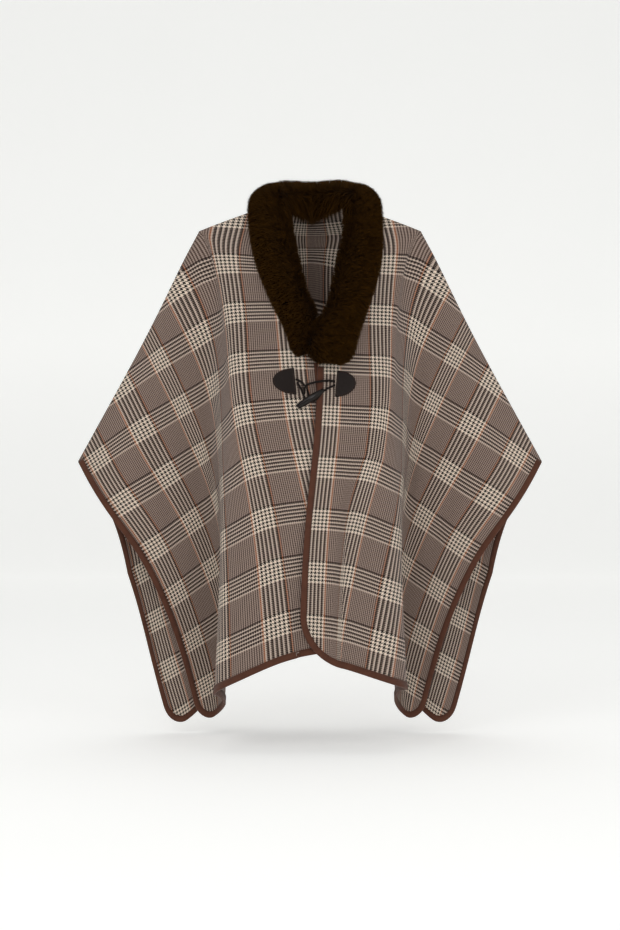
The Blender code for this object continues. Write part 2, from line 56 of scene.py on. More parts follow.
SEAM_SLOPE = math.radians(29)  # slope of the shoulder and overarm seam
SHOULDER_LENGTH, OVERARM_LENGTH = 0.149, 0.517
HEM_V, BACK_NECK_V = 0.925, 0.02
SIDE_CORNER = 0.05   # corner radius at the side edge
SIDE_U = TIP_U + OVERARM_LENGTH * math.cos(SEAM_SLOPE)
WRIST_V = TIP_V + OVERARM_LENGTH * math.sin(SEAM_SLOPE)
NECK_U = TIP_U - SHOULDER_LENGTH * math.cos(SEAM_SLOPE)
NECK_V = TIP_V - SHOULDER_LENGTH * math.sin(SEAM_SLOPE)
BACK_NECK_CURVE, BACK_NECK_LEVEL = 0.6, 0.25   # shares of NECK_U where the neckline bends
TIP_X, TIP_Z = 0.213, -0.026   # shoulder tip in the worn form
TIP_ROUND, TIP_BLUR = 0.025, 0.030   # near the tip the depth starts softly and narrow folds die out
SEAM_FADE = math.radians(25)
BLUR_TAPS = np.linspace(-1, 1, 7)
SHOULDER_OUT, SHOULDER_UP, SHOULDER_REACH = 0.009, 0.007, 0.17   # the shoulder fills the cloth round the tip
MIDDLE_SOFT = 0.09   # the back runs level across its middle over this width
SIDE_BOW_FROM = 0.34   # a side edge hangs in, and the cloth with it from here outwards
BACK_BOW, BACK_BOW_END = 0.012, 0.45   # the back's hangs in only below the wrist
WING_FROM, WING_SPAN = 0.2, 0.3   # the back's wings begin here and are full after the span
WING_WARP, WING_WEFT, BACK_WEFT = 0.051, 0.055, 0.010   # moves of the check there, and on the whole back
BACK_SHIFT = -0.0605   # start of the warp's check on the back
BACK_FAN = (
    # ray            flat   outward  back    down   drop
    ("overarm", 29.0, 0.484, 0.000, 0.875, 1.00),
    ("wing_upper", 40.0, 0.345, 0.060, 0.937, 1.00),
    ("wing_lower", 51.0, 0.200, 0.095, 0.975, 1.02),
    ("side_corner", 61.0, 0.085, 0.095, 0.991, 1.045),
    ("valley_outer", 65.0, 0.035, 0.088, 0.995, 1.045),
    ("valley_inner", 69.0, 0.003, 0.112, 0.994, 1.04),
    ("ridge_outer", 74.0, -0.016, 0.182, 0.980, 1.03),
    ("ridge", 79.0, -0.052, 0.220, 0.974, 1.03),
    ("ridge_inner", 84.0, -0.095, 0.190, 0.977, 1.01),
    ("soft_valley", 89.5, -0.132, 0.150, 0.980, 1.00),
    ("soft_ridge", 97.0, -0.190, 0.190, 0.963, 1.00),
    ("middle_low", 104.5, -0.242, 0.165, 0.956, 1.00),
    ("middle_high", 125.5, -0.563, 0.370, 0.739, 1.00),
    ("yoke", 150.0, -0.840, 0.490, 0.230, 1.00),
    ("nape", 193.0, -0.900, 0.420, -0.150, 1.05),
    ("neck_point", 209.0, -0.926, 0.050, -0.376, 1.00),
)
BACK_CREASES = (
    # crease           from u, v        to u, v         width   rise
    ("nape_fall", (0.030, 0.22), (0.045, 0.78), 0.020, 0.0040),
    ("middle_dip", (-0.045, 0.35), (-0.060, 0.86), 0.017, -0.0045),
    ("blade_pull", (0.15, 0.20), (0.27, 0.40), 0.016, -0.0030),
    ("other_pull", (-0.16, 0.17), (-0.31, 0.36), 0.014, -0.0035),
    ("left_elbow", (0.37, 0.30), (0.50, 0.60), 0.021, 0.0045),
    ("left_wing", (0.52, 0.36), (0.60, 0.68), 0.017, -0.0040),
    ("right_elbow", (-0.40, 0.33), (-0.49, 0.67), 0.023, 0.0045),
    ("right_wing", (-0.55, 0.40), (-0.585, 0.62), 0.015, -0.0035),
    ("low_ripple", (0.18, 0.62), (0.20, 0.90), 0.014, 0.0030),
    ("other_ripple", (-0.14, 0.55), (-0.15, 0.88), 0.016, 0.0035),
)


def soft_step(value):
    """Smooth rise from 0 to 1 as the value goes from 0 to 1."""
    share = np.clip(value, 0.0, 1.0)
    return share * share * (3.0 - 2.0 * share)


def along_rows(keys, rows, at):
    """Smooth curve through the rows of a table, read at any key."""
    slopes = np.gradient(rows, keys, axis=0)
    low = np.clip(np.searchsorted(keys, at) - 1, 0, len(keys) - 2)
    span = (keys[low + 1] - keys[low])[..., None]
    t = np.clip((at - keys[low])[..., None] / span, -ROW_OVERRUN, 1 + ROW_OVERRUN)
    return ((1 + 2 * t) * (1 - t) ** 2 * rows[low] + t * (1 - t) ** 2 * span * slopes[low]
            + t * t * (3 - 2 * t) * rows[low + 1] + t * t * (t - 1) * span * slopes[low + 1])


class BackPanel:
    """The worn place of each flat point of the back."""
    keys = np.radians([row[1] for row in BACK_FAN])
    rows = np.array([row[2:] for row in BACK_FAN])
    creases = BACK_CREASES
    faces_out = 1.0

    def hang(self, u, v):
        """Place, distance and angle on the ray from the shoulder tip, for the wearer's left half."""
        across, down = u - TIP_U, v - TIP_V
        reach = np.hypot(across, down)
        angle = np.arctan2(down, across)
        angle = np.where(angle < -1.0, angle + 2 * np.pi, angle)
        from_seam = soft_step((angle - SEAM_SLOPE) / SEAM_FADE)
        from_neck = soft_step((SEAM_SLOPE + np.pi - angle) / SEAM_FADE)
        blur = np.minimum(TIP_BLUR / (reach + TIP_BLUR / 2), SEAM_FADE) * from_seam * from_neck
        taps = [along_rows(self.keys, self.rows, angle + blur * tap) for tap in BLUR_TAPS]
        ray = sum(taps) / len(taps)
        way = ray[..., :3] / np.linalg.norm(ray[..., :3], axis=-1, keepdims=True)
        length = reach * ray[..., 3]
        filled = np.exp(-(reach / SHOULDER_REACH) ** 2)
        x = TIP_X + length * way[..., 0] + SHOULDER_OUT * filled
        y = length * way[..., 1] * reach / (reach + TIP_ROUND)
        return x, y, TIP_Z - length * way[..., 2] + SHOULDER_UP * filled, reach, angle

    def place(self, u, v):
        out = np.abs(u)
        half = np.where(out < MIDDLE_SOFT, (u * u / MIDDLE_SOFT + MIDDLE_SOFT) / 2, out)
        x, y, z, _, _ = self.hang(half, v)
        middle = self.hang(np.full_like(u, MIDDLE_SOFT / 2), v)[0]
        fall = np.clip((v - WRIST_V) / (HEM_V - WRIST_V), 0, 1)
        bow = BACK_BOW * np.sin(np.pi * np.clip(fall / BACK_BOW_END, 0, 1))
        x = x - middle * np.clip(1 - out / TIP_U, 0, 1) ** 2
        x = x - bow * soft_step((out - SIDE_BOW_FROM) / (SIDE_U - SIDE_BOW_FROM))
        return np.stack([np.where(u < 0, -x, x), y + SEAM_HALF, z], axis=-1)

    def weave(self, u, v):
        """Where the yarns lie, so that the check falls where it shows on the worn cloth."""
        wing = soft_step((np.abs(u) - WING_FROM) / WING_SPAN)
        return np.stack([np.where(u < 0, u + WING_WARP * wing, u), v + WING_WEFT * wing - BACK_WEFT], axis=-1)

    def facing(self, u, v):
        """Outward normal of the cloth."""
        along_u = self.place(u + FACING_STEP, v) - self.place(u - FACING_STEP, v)
        along_v = self.place(u, v + FACING_STEP) - self.place(u, v - FACING_STEP)
        normal = np.cross(along_u, along_v)
        return self.faces_out * normal / np.linalg.norm(normal, axis=-1, keepdims=True)

    def worn(self, points, height=0.0):
        """Flat points in the worn cloth with its creases, or a height above its middle."""
        u, v = np.asarray(points, float).T
        lift = np.zeros_like(u) + height
        for _, (from_u, from_v), (to_u, to_v), width, rise in self.creases:
            du, dv = to_u - from_u, to_v - from_v
            along = np.clip(((u - from_u) * du + (v - from_v) * dv) / (du * du + dv * dv), 0, 1)
            off = np.hypot(u - from_u - along * du, v - from_v - along * dv)
            lift = lift + rise * np.exp(-(off / width) ** 2) * np.sin(np.pi * along)
        return self.place(u, v) + self.facing(u, v) * lift[:, None]


def walk(points, step):
    """Points along a flat outline, no more than a step apart, its own points kept."""
    out = [points[0]]
    for a, b in zip(points, points[1:]):
        count = max(1, math.ceil(math.dist(a, b) / step))
        out += [(a[0] + (b[0] - a[0]) * k / count, a[1] + (b[1] - a[1]) * k / count)
                for k in range(1, count + 1)]
    return out


def corner_arc(middle_u, middle_v, radius, start, end):
    """Points round a corner of the cut, angles in degrees from +u towards +v."""
    count = math.ceil(radius * math.radians(abs(end - start)) / EDGE_STEP) + 1
    angles = np.radians(np.linspace(start, end, count))
    return [(middle_u + radius * math.cos(a), middle_v + radius * math.sin(a)) for a in angles]


def cut_cloth(seam, edge):
    """The cut filled with points: flat points, triangles and the cut's area."""
    outline = walk(seam + edge + seam[:1], EDGE_STEP)[:-1]
    ring = np.array(outline)
    ahead = np.roll(ring, -1, axis=0)
    area = abs(np.sum(ring[:, 0] * ahead[:, 1] - ahead[:, 0] * ring[:, 1])) / 2
    low, high = ring.min(axis=0), ring.max(axis=0)
    row_gap = MESH_STEP * math.sqrt(3) / 2
    inside = []
    for j in range(1, int((high[1] - low[1]) / row_gap) + 1):
        v = low[1] + j * row_gap
        crossed = (ring[:, 1] > v) != (ahead[:, 1] > v)
        a, b = ring[crossed], ahead[crossed]
        ends = np.sort(a[:, 0] + (v - a[:, 1]) / (b[:, 1] - a[:, 1]) * (b[:, 0] - a[:, 0]))
        for start, end in ends.reshape(-1, 2):
            u = np.arange(math.ceil(start / MESH_STEP), end / MESH_STEP) * MESH_STEP
            u = u + MESH_STEP / 2 * (j % 2)
            u = u[(u > start) & (u < end)]
            gap = np.hypot(u[:, None] - ring[None, :, 0], v - ring[None, :, 1]).min(axis=1)
            inside += [(x, v) for x in u[gap > MESH_STEP * EDGE_CLEAR]]
    count = len(outline)
    edges = [(k, (k + 1) % count) for k in range(count)]
    flat = delaunay_2d_cdt([Vector(p) for p in outline + inside], edges, [], 1, SAME_POINT)
    return np.array([tuple(p) for p in flat[0]]), [tuple(face) for face in flat[2]], area


def add_piece(name, verts, faces, material, uv=None):
    """A piece of the poncho that rides with the frame; uv holds one pair for each point."""
    mesh = bpy.data.meshes.new(name)
    mesh.from_pydata(np.asarray(verts).tolist(), [], faces)
    mesh.update()
    mesh.shade_smooth()
    if uv is not None:
        corner = np.zeros(len(mesh.loops), np.int32)
        mesh.loops.foreach_get("vertex_index", corner)
        at_corner = np.asarray(uv, np.float32)[corner]
        mesh.uv_layers.new(name="cut").data.foreach_set("uv", at_corner.ravel())
    mesh.materials.append(material)
    piece = bpy.data.objects.new(name, mesh)
    bpy.context.scene.collection.objects.link(piece)
    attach(piece, "root")
    return piece


def new_finish(name, roughness):
    """A material with its shader, and short calls that add maths and links to it."""
    material = bpy.data.materials.new(name)
    material.use_nodes = True
    tree = material.node_tree
    shader = tree.nodes["Principled BSDF"]
    shader.inputs["Roughness"].default_value = roughness

    def maths(work, *inputs):
        node = tree.nodes.new("ShaderNodeMath")
        node.operation = work
        for socket, value in zip(node.inputs, inputs):
            if isinstance(value, (int, float)):
                socket.default_value = value
            else:
                tree.links.new(value, socket)
        return node.outputs[0]

    def mixed(share, first, second):
        node = tree.nodes.new("ShaderNodeMix")
        node.data_type = "RGBA"
        sockets = node.inputs["Factor"], node.inputs[6], node.inputs[7]
        for socket, value in zip(sockets, (share, first, second)):
            if isinstance(value, tuple):
                socket.default_value = (*value, 1.0)
            elif isinstance(value, (int, float)):
                socket.default_value = value
            else:
                tree.links.new(value, socket)
        return node.outputs[2]

    def flat_place():
        node = tree.nodes.new("ShaderNodeUVMap")
        node.uv_map = "cut"
        split = tree.nodes.new("ShaderNodeSeparateXYZ")
        tree.links.new(node.outputs[0], split.inputs[0])
        return split.outputs[0], split.outputs[1]

    def noise(scale, detail):
        node = tree.nodes.new("ShaderNodeTexNoise")
        node.inputs["Scale"].default_value = scale
        node.inputs["Detail"].default_value = detail
        place = tree.nodes.new("ShaderNodeTexCoord")
        tree.links.new(place.outputs["Object"], node.inputs["Vector"])
        return node.outputs[0]

    def raised(height, depth):
        node = tree.nodes.new("ShaderNodeBump")
        node.inputs["Strength"].default_value = 1.0
        node.inputs["Distance"].default_value = depth
        tree.links.new(height, node.inputs["Height"])
        tree.links.new(node.outputs[0], shader.inputs["Normal"])

    def painted(colour):
        tree.links.new(colour, shader.inputs["Base Color"])

    return material, shader, maths, mixed, flat_place, noise, raised, painted


# The check: 48 coarse and 60 fine warp yarns, 48 coarse and 68 fine weft yarns, woven two over two
COARSE_YARNS, WARP_REPEAT, WEFT_REPEAT = 48, 108, 116
WARP_PITCH, WEFT_PITCH = 0.1085 / WARP_REPEAT, 0.102 / WEFT_REPEAT
COARSE_GROUP, FINE_GROUP, TWILL = 4, 2, 2   # yarns of one colour side by side, and yarns passed over
WEFT_FINE_START = 2   # the fine weft's colours begin this many yarns on
OVERCHECK_HALF = 1.1   # half of an orange line, in yarns
BAND_V = 0.345   # middle of one coarse weft band below the neck point
CREAM_FINE, CREAM_STRIPE, CREAM_TOOTH = (0.34, 0.255, 0.210), (0.57, 0.450, 0.370), (0.80, 0.670, 0.545)
DARK_FINE, DARK_BROWN, ORANGE = (0.062, 0.034, 0.026), (0.014, 0.0070, 0.0052), (0.44, 0.150, 0.055)
CREAM_SHADED = (0.17, 0.118, 0.094)   # cream yarn among coarse dark ones
FLECK_SCALE, FLECK_SPREAD, FLECK_LEAST = 900, 0.7, 0.65   # flecks of the wool
CLOUD_SCALE, CLOUD_SPREAD, CLOUD_LEAST = 9, 0.24, 0.88   # slow changes of its tone
YARN_ROUND, FLECK_RISE, WEAVE_DEPTH = -0.8, 0.5, 0.0005


def glen_check(name, shift):
    """Wool cloth, with the warp moved by a shift along u."""
    material, shader, maths, mixed, flat_place, noise, raised, painted = new_finish(name, 0.92)
    shader.inputs["Sheen Weight"].default_value = 0.12
    shader.inputs["Sheen Roughness"].default_value = 0.6
    shader.inputs["Specular IOR Level"].default_value = 0.2
    u, v = flat_place()
    warp_at = maths("DIVIDE", maths("SUBTRACT", u, shift), WARP_PITCH)
    weft_at = maths("DIVIDE", maths("SUBTRACT", v, BAND_V - WEFT_PITCH * COARSE_YARNS / 2), WEFT_PITCH)
    warp, weft = maths("FLOOR", warp_at), maths("FLOOR", weft_at)

    def dark_yarn(yarn, repeat, fine_start):
        place = maths("FLOORED_MODULO", yarn, repeat)
        coarse = maths("LESS_THAN", place, COARSE_YARNS)
        thick = maths("LESS_THAN", maths("FLOORED_MODULO", place, 2 * COARSE_GROUP), COARSE_GROUP)
        fine_place = maths("ADD", place, fine_start)
        thin = maths("LESS_THAN", maths("FLOORED_MODULO", fine_place, 2 * FINE_GROUP), FINE_GROUP)
        fine_dark = maths("MULTIPLY", maths("SUBTRACT", 1, coarse), thin)
        return maths("ADD", maths("MULTIPLY", coarse, thick), fine_dark), coarse, place

    warp_dark, warp_coarse, warp_place = dark_yarn(warp, WARP_REPEAT, 0)
    weft_dark, weft_coarse, _ = dark_yarn(weft, WEFT_REPEAT, WEFT_FINE_START)
    border = maths("ADD", maths("COMPARE", warp_place, WARP_REPEAT - 1, OVERCHECK_HALF),
                   maths("COMPARE", warp_place, COARSE_YARNS, OVERCHECK_HALF))
    warp_up = maths("LESS_THAN", maths("FLOORED_MODULO", maths("ADD", warp, weft), 2 * TWILL), TWILL)
    cream = mixed(maths("MAXIMUM", warp_coarse, weft_coarse), CREAM_FINE, CREAM_STRIPE)
    cream = mixed(maths("MULTIPLY", warp_coarse, weft_coarse), cream, CREAM_TOOTH)
    shaded = maths("MULTIPLY", maths("ABSOLUTE", maths("SUBTRACT", warp_coarse, weft_coarse)),
                   mixed(warp_coarse, weft_dark, warp_dark))
    cream = mixed(shaded, cream, CREAM_SHADED)
    brown = mixed(maths("MAXIMUM", warp_coarse, weft_coarse), DARK_FINE, DARK_BROWN)
    warp_colour = mixed(maths("MINIMUM", border, 1), mixed(warp_dark, cream, brown), ORANGE)
    weave = mixed(warp_up, mixed(weft_dark, cream, brown), warp_colour)
    fleck = maths("MULTIPLY_ADD", noise(FLECK_SCALE, 3.0), FLECK_SPREAD, FLECK_LEAST)
    cloud = maths("MULTIPLY_ADD", noise(CLOUD_SCALE, 3.0), CLOUD_SPREAD, CLOUD_LEAST)
    tone = maths("MULTIPLY", fleck, cloud)
    painted(mixed(tone, (0.0, 0.0, 0.0), weave))
    across = maths("ABSOLUTE", maths("SUBTRACT", maths("FRACT", warp_at), 0.5))
    along = maths("ABSOLUTE", maths("SUBTRACT", maths("FRACT", weft_at), 0.5))
    yarn = mixed(warp_up, along, across)
    height = maths("ADD", maths("MULTIPLY", yarn, YARN_ROUND), maths("MULTIPLY", fleck, FLECK_RISE))
    raised(height, WEAVE_DEPTH)
    return material


def cloth_panel(name, panel, seam, edge, shift):
    """One panel as a thin shell, with the check laid over it."""
    flat, faces, area = cut_cloth(seam, edge)
    wool = glen_check(name + "_wool", shift)
    piece = add_piece(name, panel.worn(flat), faces, wool, panel.weave(*flat.T))
    wall = piece.modifiers.new("wall", "SOLIDIFY")
    wall.thickness, wall.offset = CLOTH, 0.0
    return piece, area


back_half = corner_arc(SIDE_U - SIDE_CORNER, HEM_V - SIDE_CORNER, SIDE_CORNER, 90, 0)
back_half = walk([(0.0, HEM_V)] + back_half + [(SIDE_U, WRIST_V)], EDGE_STEP)
back_edge = [(-u, v) for u, v in reversed(back_half[1:])] + back_half
back_seam = [(TIP_U, TIP_V), (NECK_U, NECK_V),
             (NECK_U * BACK_NECK_CURVE, NECK_V + BACK_NECK_CURVE * (BACK_NECK_V - NECK_V)),
             (NECK_U * BACK_NECK_LEVEL, BACK_NECK_V)]
back_seam += [(-u, v) for u, v in reversed(back_seam)]
back = BackPanel()
back_cloth, back_area = cloth_panel("back_cloth", back, back_seam, back_edge, BACK_SHIFT)
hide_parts("back_panel")

# Left front, the upper one. The same cloth cut to a front edge at the middle, sewn to the back along the
# shoulder and overarm. The chest swells it forward, the body's side draws it in, and it tucks into a
# side fold.
FRONT_NECK_V, FRONT_NECK_BEND = 0.343, (0.040, 0.17)   # foot and bend of the front neckline
FRONT_CORNER = 0.09   # corner radius at the front edge
UPPER_EDGE_U = 0.0
SIDE_BOW, SIDE_BOW_START = 0.030, 0.4   # the side edge hangs in by this much
CHEST, CHEST_RADIUS, CHEST_SPREAD = 0.034, 0.36, 0.19
CHEST_ANGLE, CHEST_WIDTH, CHEST_OUT = math.radians(101), math.radians(17), 0.024
DRAW_IN, DRAW_IN_REACH, DRAW_IN_SPREAD, DRAW_IN_POWER = 0.040, 1.05, 0.020, 0.6
DRAW_IN_ANGLE, DRAW_IN_WIDTH = math.radians(84), math.radians(9)
UPPER_TUCK = math.radians(5)
TUCK_FROM, TUCK_SPAN, TUCK_END, TUCK_FADE = np.radians((65, 16, 149, 52))
SEARCH_U, SEARCH_V = (-0.25, 0.45), (0.0, 1.1)   # flat range searched for a place seen from the front
SEARCH_STEP, SEARCH_ROUNDS = 0.001, 9
FRONT_FAN = (
    # ray            flat   outward  back    down   drop
    ("overarm", 29.0, 0.484, 0.000, 0.875, 1.00),
    ("wing_upper", 40.0, 0.335, -0.030, 0.942, 1.00),
    ("wing_lower", 51.0, 0.165, -0.005, 0.986, 1.01),
    ("side_corner", 61.0, 0.025, 0.035, 0.999, 1.02),
    ("valley_outer", 64.0, -0.016, 0.044, 0.998, 1.025),
    ("valley_inner", 68.5, -0.042, 0.016, 0.996, 1.03),
    ("gusset", 75.0, -0.036, -0.080, 0.996, 1.04),
    ("ridge", 82.0, -0.020, -0.180, 0.983, 1.055),
    ("ridge_inner", 87.0, -0.070, -0.210, 0.970, 1.045),
    ("chest_outer", 95.0, -0.190, -0.205, 0.960, 1.012),
    ("front_low", 105.0, -0.345, -0.203, 0.920, 1.00),
    ("front_high", 124.0, -0.540, -0.330, 0.775, 1.00),
    ("neck_side", 148.0, -0.750, -0.420, 0.510, 1.00),
    ("neck_point", 209.0, -0.926, 0.000, -0.376, 1.00),
)
LEFT_CREASES = (
    # crease           from u, v        to u, v         width   rise
    ("edge_dip", (0.083, 0.42), (0.084, 0.98), 0.0110, -0.0058),
    ("edge_fall", (0.106, 0.46), (0.108, 0.98), 0.014, 0.0045),
    ("lap_fall", (0.050, 0.50), (0.052, 0.90), 0.015, 0.0020),
    ("toggle_pull", (0.100, 0.385), (0.185, 0.50), 0.013, -0.0025),
    ("elbow", (0.37, 0.31), (0.49, 0.60), 0.021, 0.0045),
    ("wing", (0.51, 0.36), (0.585, 0.66), 0.017, -0.0040),
    ("wrist", (0.60, 0.37), (0.63, 0.56), 0.013, 0.0030),
)


class FrontPanel(BackPanel):
    """The worn place of each flat point of a front."""

    def __init__(self, side, tuck, creases, warp_lay, take_up=0.0, upper=None):
        flat = np.radians([row[1] for row in FRONT_FAN])
        tucked = soft_step((flat - TUCK_FROM) / TUCK_SPAN) * soft_step((TUCK_END - flat) / TUCK_FADE)
        self.keys, self.rows = flat + tuck * tucked, np.array([row[2:] for row in FRONT_FAN])
        self.side, self.tuck, self.creases, self.upper = side, tuck, creases, upper
        self.faces_out = -side
        self.warp_lay, self.take_up = np.array(warp_lay), take_up

    def place(self, u, v):
        x, y, z, reach, angle = self.hang(u, v)
        swell = np.exp(-((reach - CHEST_RADIUS) / CHEST_SPREAD) ** 2
                       - ((angle - CHEST_ANGLE) / CHEST_WIDTH) ** 2)
        drawn = np.sin(np.pi * np.clip(reach / DRAW_IN_REACH, 0, 1) ** DRAW_IN_POWER)
        width = DRAW_IN_WIDTH + DRAW_IN_SPREAD / (reach + DRAW_IN_SPREAD)
        fall = np.clip((v - WRIST_V) / (HEM_V - WRIST_V), 0, 1)
        bow = np.sin(np.pi * fall) * soft_step(fall / SIDE_BOW_START)
        at_side = soft_step((u - SIDE_BOW_FROM) / (SIDE_U - SIDE_BOW_FROM))
        x = x + CHEST_OUT * swell - SIDE_BOW * bow * at_side
        x = x - DRAW_IN * drawn * np.exp(-((angle - self.tuck - DRAW_IN_ANGLE) / width) ** 2)
        y = y - SEAM_HALF - CHEST * swell
        if self.upper is not None:
            over_u, over_v = self.upper.under(self.side * x, z)
            over = self.upper.place(over_u, over_v)[..., 1] + LAP_GAP
            y = y + np.maximum(over - y, 0) * soft_step(over_u / LAP_REACH + 1) * (u < LAP_REACH)
        return np.stack([self.side * x, y, z], axis=-1)

    def weave(self, u, v):
        """Where the yarns lie, so that the check falls where it shows on the worn cloth."""
        lay = along_rows(self.warp_lay[:, 0], self.warp_lay[:, 1:], u)[:, 0]
        here = soft_step((u - TAKE_UP_FROM) / TAKE_UP_SPAN) * soft_step((TAKE_UP_END - u) / TAKE_UP_FADE)
        return np.stack([lay + self.take_up * np.maximum(v - TAKE_UP_V, 0) * here, v], axis=-1)

    def under(self, x, z):
        """Flat point that lies at this place seen from the front."""
        u = np.full_like(x, sum(SEARCH_U) / 2)
        v = TIP_V + TIP_Z - z
        for _ in range(SEARCH_ROUNDS):
            here = self.place(u, v)
            du = (self.place(u + SEARCH_STEP, v) - here) / SEARCH_STEP
            dv = (self.place(u, v + SEARCH_STEP) - here) / SEARCH_STEP
            turn = du[..., 0] * dv[..., 2] - dv[..., 0] * du[..., 2]
            miss_x, miss_z = x - here[..., 0], z - here[..., 2]
            u = np.clip(u + (miss_x * dv[..., 2] - dv[..., 0] * miss_z) / turn, *SEARCH_U)
            v = np.clip(v + (du[..., 0] * miss_z - miss_x * du[..., 2]) / turn, *SEARCH_V)
        return u, v


def front_cut(edge_u):
    """Sewn line and bound line of a front."""
    seam = [(TIP_U, TIP_V), (NECK_U, NECK_V), FRONT_NECK_BEND, (edge_u, FRONT_NECK_V)]
    edge = corner_arc(edge_u + FRONT_CORNER, HEM_V - FRONT_CORNER, FRONT_CORNER, 180, 90)
    edge += corner_arc(SIDE_U - SIDE_CORNER, HEM_V - SIDE_CORNER, SIDE_CORNER, 90, 0)
    edge += [(SIDE_U, WRIST_V)]
    return seam, walk([seam[-1]] + edge, EDGE_STEP)[1:]


TAKE_UP, TAKE_UP_V = 0.19, 0.52   # move of the warp beside the front edge for each metre below this line
LEFT_SHIFT = 0.005   # start of the warp's check on the left front
TAKE_UP_FROM, TAKE_UP_SPAN, TAKE_UP_END, TAKE_UP_FADE = 0.068, 0.024, 0.40, 0.16
LEFT_LAY = (
    # flat u   warp at
    (0.000, 0.004),
    (0.050, 0.054),
    (0.085, 0.088),
    (0.166, 0.1617),
    (0.236, 0.205),
    (0.330, 0.268),
    (0.478, 0.439),
    (0.530, 0.4872),
    (0.590, 0.5475),
    (0.672, 0.627),
)
left = FrontPanel(1.0, UPPER_TUCK, LEFT_CREASES, LEFT_LAY, TAKE_UP)
left_seam, left_edge = front_cut(UPPER_EDGE_U)
left_cloth, left_area = cloth_panel("left_front_cloth", left, left_seam, left_edge, LEFT_SHIFT)
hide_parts("left_front")

# Right front, the under one. The same cloth, sewn to the back along the shoulder and overarm. Its edge
# reaches further across, and it lies a little behind the upper front.
UNDER_EDGE_U = -0.03
RIGHT_SHIFT = 0.0   # start of the warp's check on the right front
LAP_GAP, LAP_REACH = 0.008, 0.12
RIGHT_CREASES = (
    # crease           from u, v        to u, v         width   rise
    ("edge_fall", (0.100, 0.52), (0.118, 0.88), 0.016, 0.0035),
    ("toggle_pull", (0.085, 0.39), (0.170, 0.53), 0.013, -0.0025),
    ("elbow", (0.36, 0.29), (0.48, 0.63), 0.022, 0.0050),
    ("wing", (0.49, 0.33), (0.595, 0.61), 0.017, -0.0040),
    ("wrist", (0.59, 0.36), (0.635, 0.60), 0.014, 0.0030),
)
RIGHT_LAY = (
    # flat u   warp at
    (-0.030, -0.025),
    (0.0585, 0.0482),
    (0.131, 0.1085),
    (0.195, 0.1567),
    (0.285, 0.217),
    (0.335, 0.254),
    (0.493, 0.434),
    (0.545, 0.4822),
    (0.606, 0.5425),
    (0.672, 0.609),
)
right = FrontPanel(-1.0, 0.0, RIGHT_CREASES, RIGHT_LAY, upper=left)
right_seam, right_edge = front_cut(UNDER_EDGE_U)
right_cloth, right_area = cloth_panel("right_front_cloth", right, right_seam, right_edge, RIGHT_SHIFT)
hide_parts("right_front")

# Binding. A brown ribbed tape folded round the side edges, hems and front edges of each panel, and sewn
# through with one row of stitches close to its inner edge.
TAPE, TAPE_WIDTH, TAPE_CLEAR = 0.001, 0.012, 0.0007
TAPE_BROWN = (0.100, 0.033, 0.016)
STITCH_IN, STITCH_SPACING, STITCH_LENGTH = 0.0095, 0.0042, 0.0030   # from the edge, apart, long
THREAD_BROWN = (0.10, 0.040, 0.022)
THREAD_HALF, THREAD_RISE, THREAD_SINK = 0.00028, 0.0003, 0.0002
TAPE_END = 0.002   # the tape stops this far from the sewn edge
# spacing and depth of the ribs, and how much painted shade darkens their grooves
RIB_PITCH, RIB_DEPTH, RIB_SHADE = 0.0011, 0.00012, 0.10
TAPE_FOLD = np.radians((0, 30, 60, 90, 120, 150, 180))   # angles round the folded edge

tape_finish, shader, maths, mixed, flat_place, noise, raised, painted = new_finish("binding_tape", 0.75)
shader.inputs["Sheen Weight"].default_value = 0.10
shader.inputs["Specular IOR Level"].default_value = 0.25
along_tape, _ = flat_place()
ribs = maths("SINE", maths("MULTIPLY", along_tape, 2 * math.pi / RIB_PITCH))
worn_tone = maths("MULTIPLY_ADD", noise(60, 4.0), 0.7, 0.62)
# The tape is painted darker in the grooves between its ribs and lighter on their tops, as painted shade
# following the rib bump.
rib_shade = maths("MULTIPLY_ADD", ribs, RIB_SHADE, 1 - RIB_SHADE)
painted(mixed(maths("MULTIPLY", worn_tone, rib_shade), (0.0, 0.0, 0.0), TAPE_BROWN))
raised(ribs, RIB_DEPTH)

thread_finish, shader, maths, mixed, flat_place, noise, raised, painted = new_finish("binding_thread", 0.6)
painted(mixed(maths("MULTIPLY_ADD", noise(300, 2.0), 0.8, 0.55), (0.0, 0.0, 0.0), THREAD_BROWN))


def in_from(line, depth):
    """Flat points a depth in from a bound edge, the cloth on the left of the line."""
    line = np.array(line)
    ahead = np.gradient(line, axis=0)
    ahead /= np.linalg.norm(ahead, axis=1, keepdims=True)
    return line + depth * np.stack([ahead[:, 1], -ahead[:, 0]], axis=1)


def tube_faces(count, ring):
    """Faces of a tube of like sections, with its ends closed."""
    faces = [(s * ring + k, s * ring + (k + 1) % ring, (s + 1) * ring + (k + 1) % ring, (s + 1) * ring + k)
             for s in range(count - 1) for k in range(ring)]
    return faces + [tuple(reversed(range(ring))), tuple(range((count - 1) * ring, count * ring))]


def stitches(name, ends_from, ends_to, up, material):
    """Threads as small spindles, each from one point to the next, raised a little in the middle."""
    middle, ahead = (ends_from + ends_to) / 2, ends_to - ends_from
    side = np.cross(up, ahead)
    side /= np.linalg.norm(side, axis=1, keepdims=True)
    ring = [middle + side * THREAD_HALF, middle + up * THREAD_RISE,
            middle - side * THREAD_HALF, middle - up * THREAD_SINK]
    verts = np.stack([ends_from, *ring, ends_to], axis=1).reshape(-1, 3)
    faces = []
    for base in range(0, len(verts), 6):
        for k in range(4):
            n = (k + 1) % 4
            faces += [(base, base + 1 + n, base + 1 + k), (base + 5, base + 1 + k, base + 1 + n)]
    return add_piece(name, verts, faces, material)


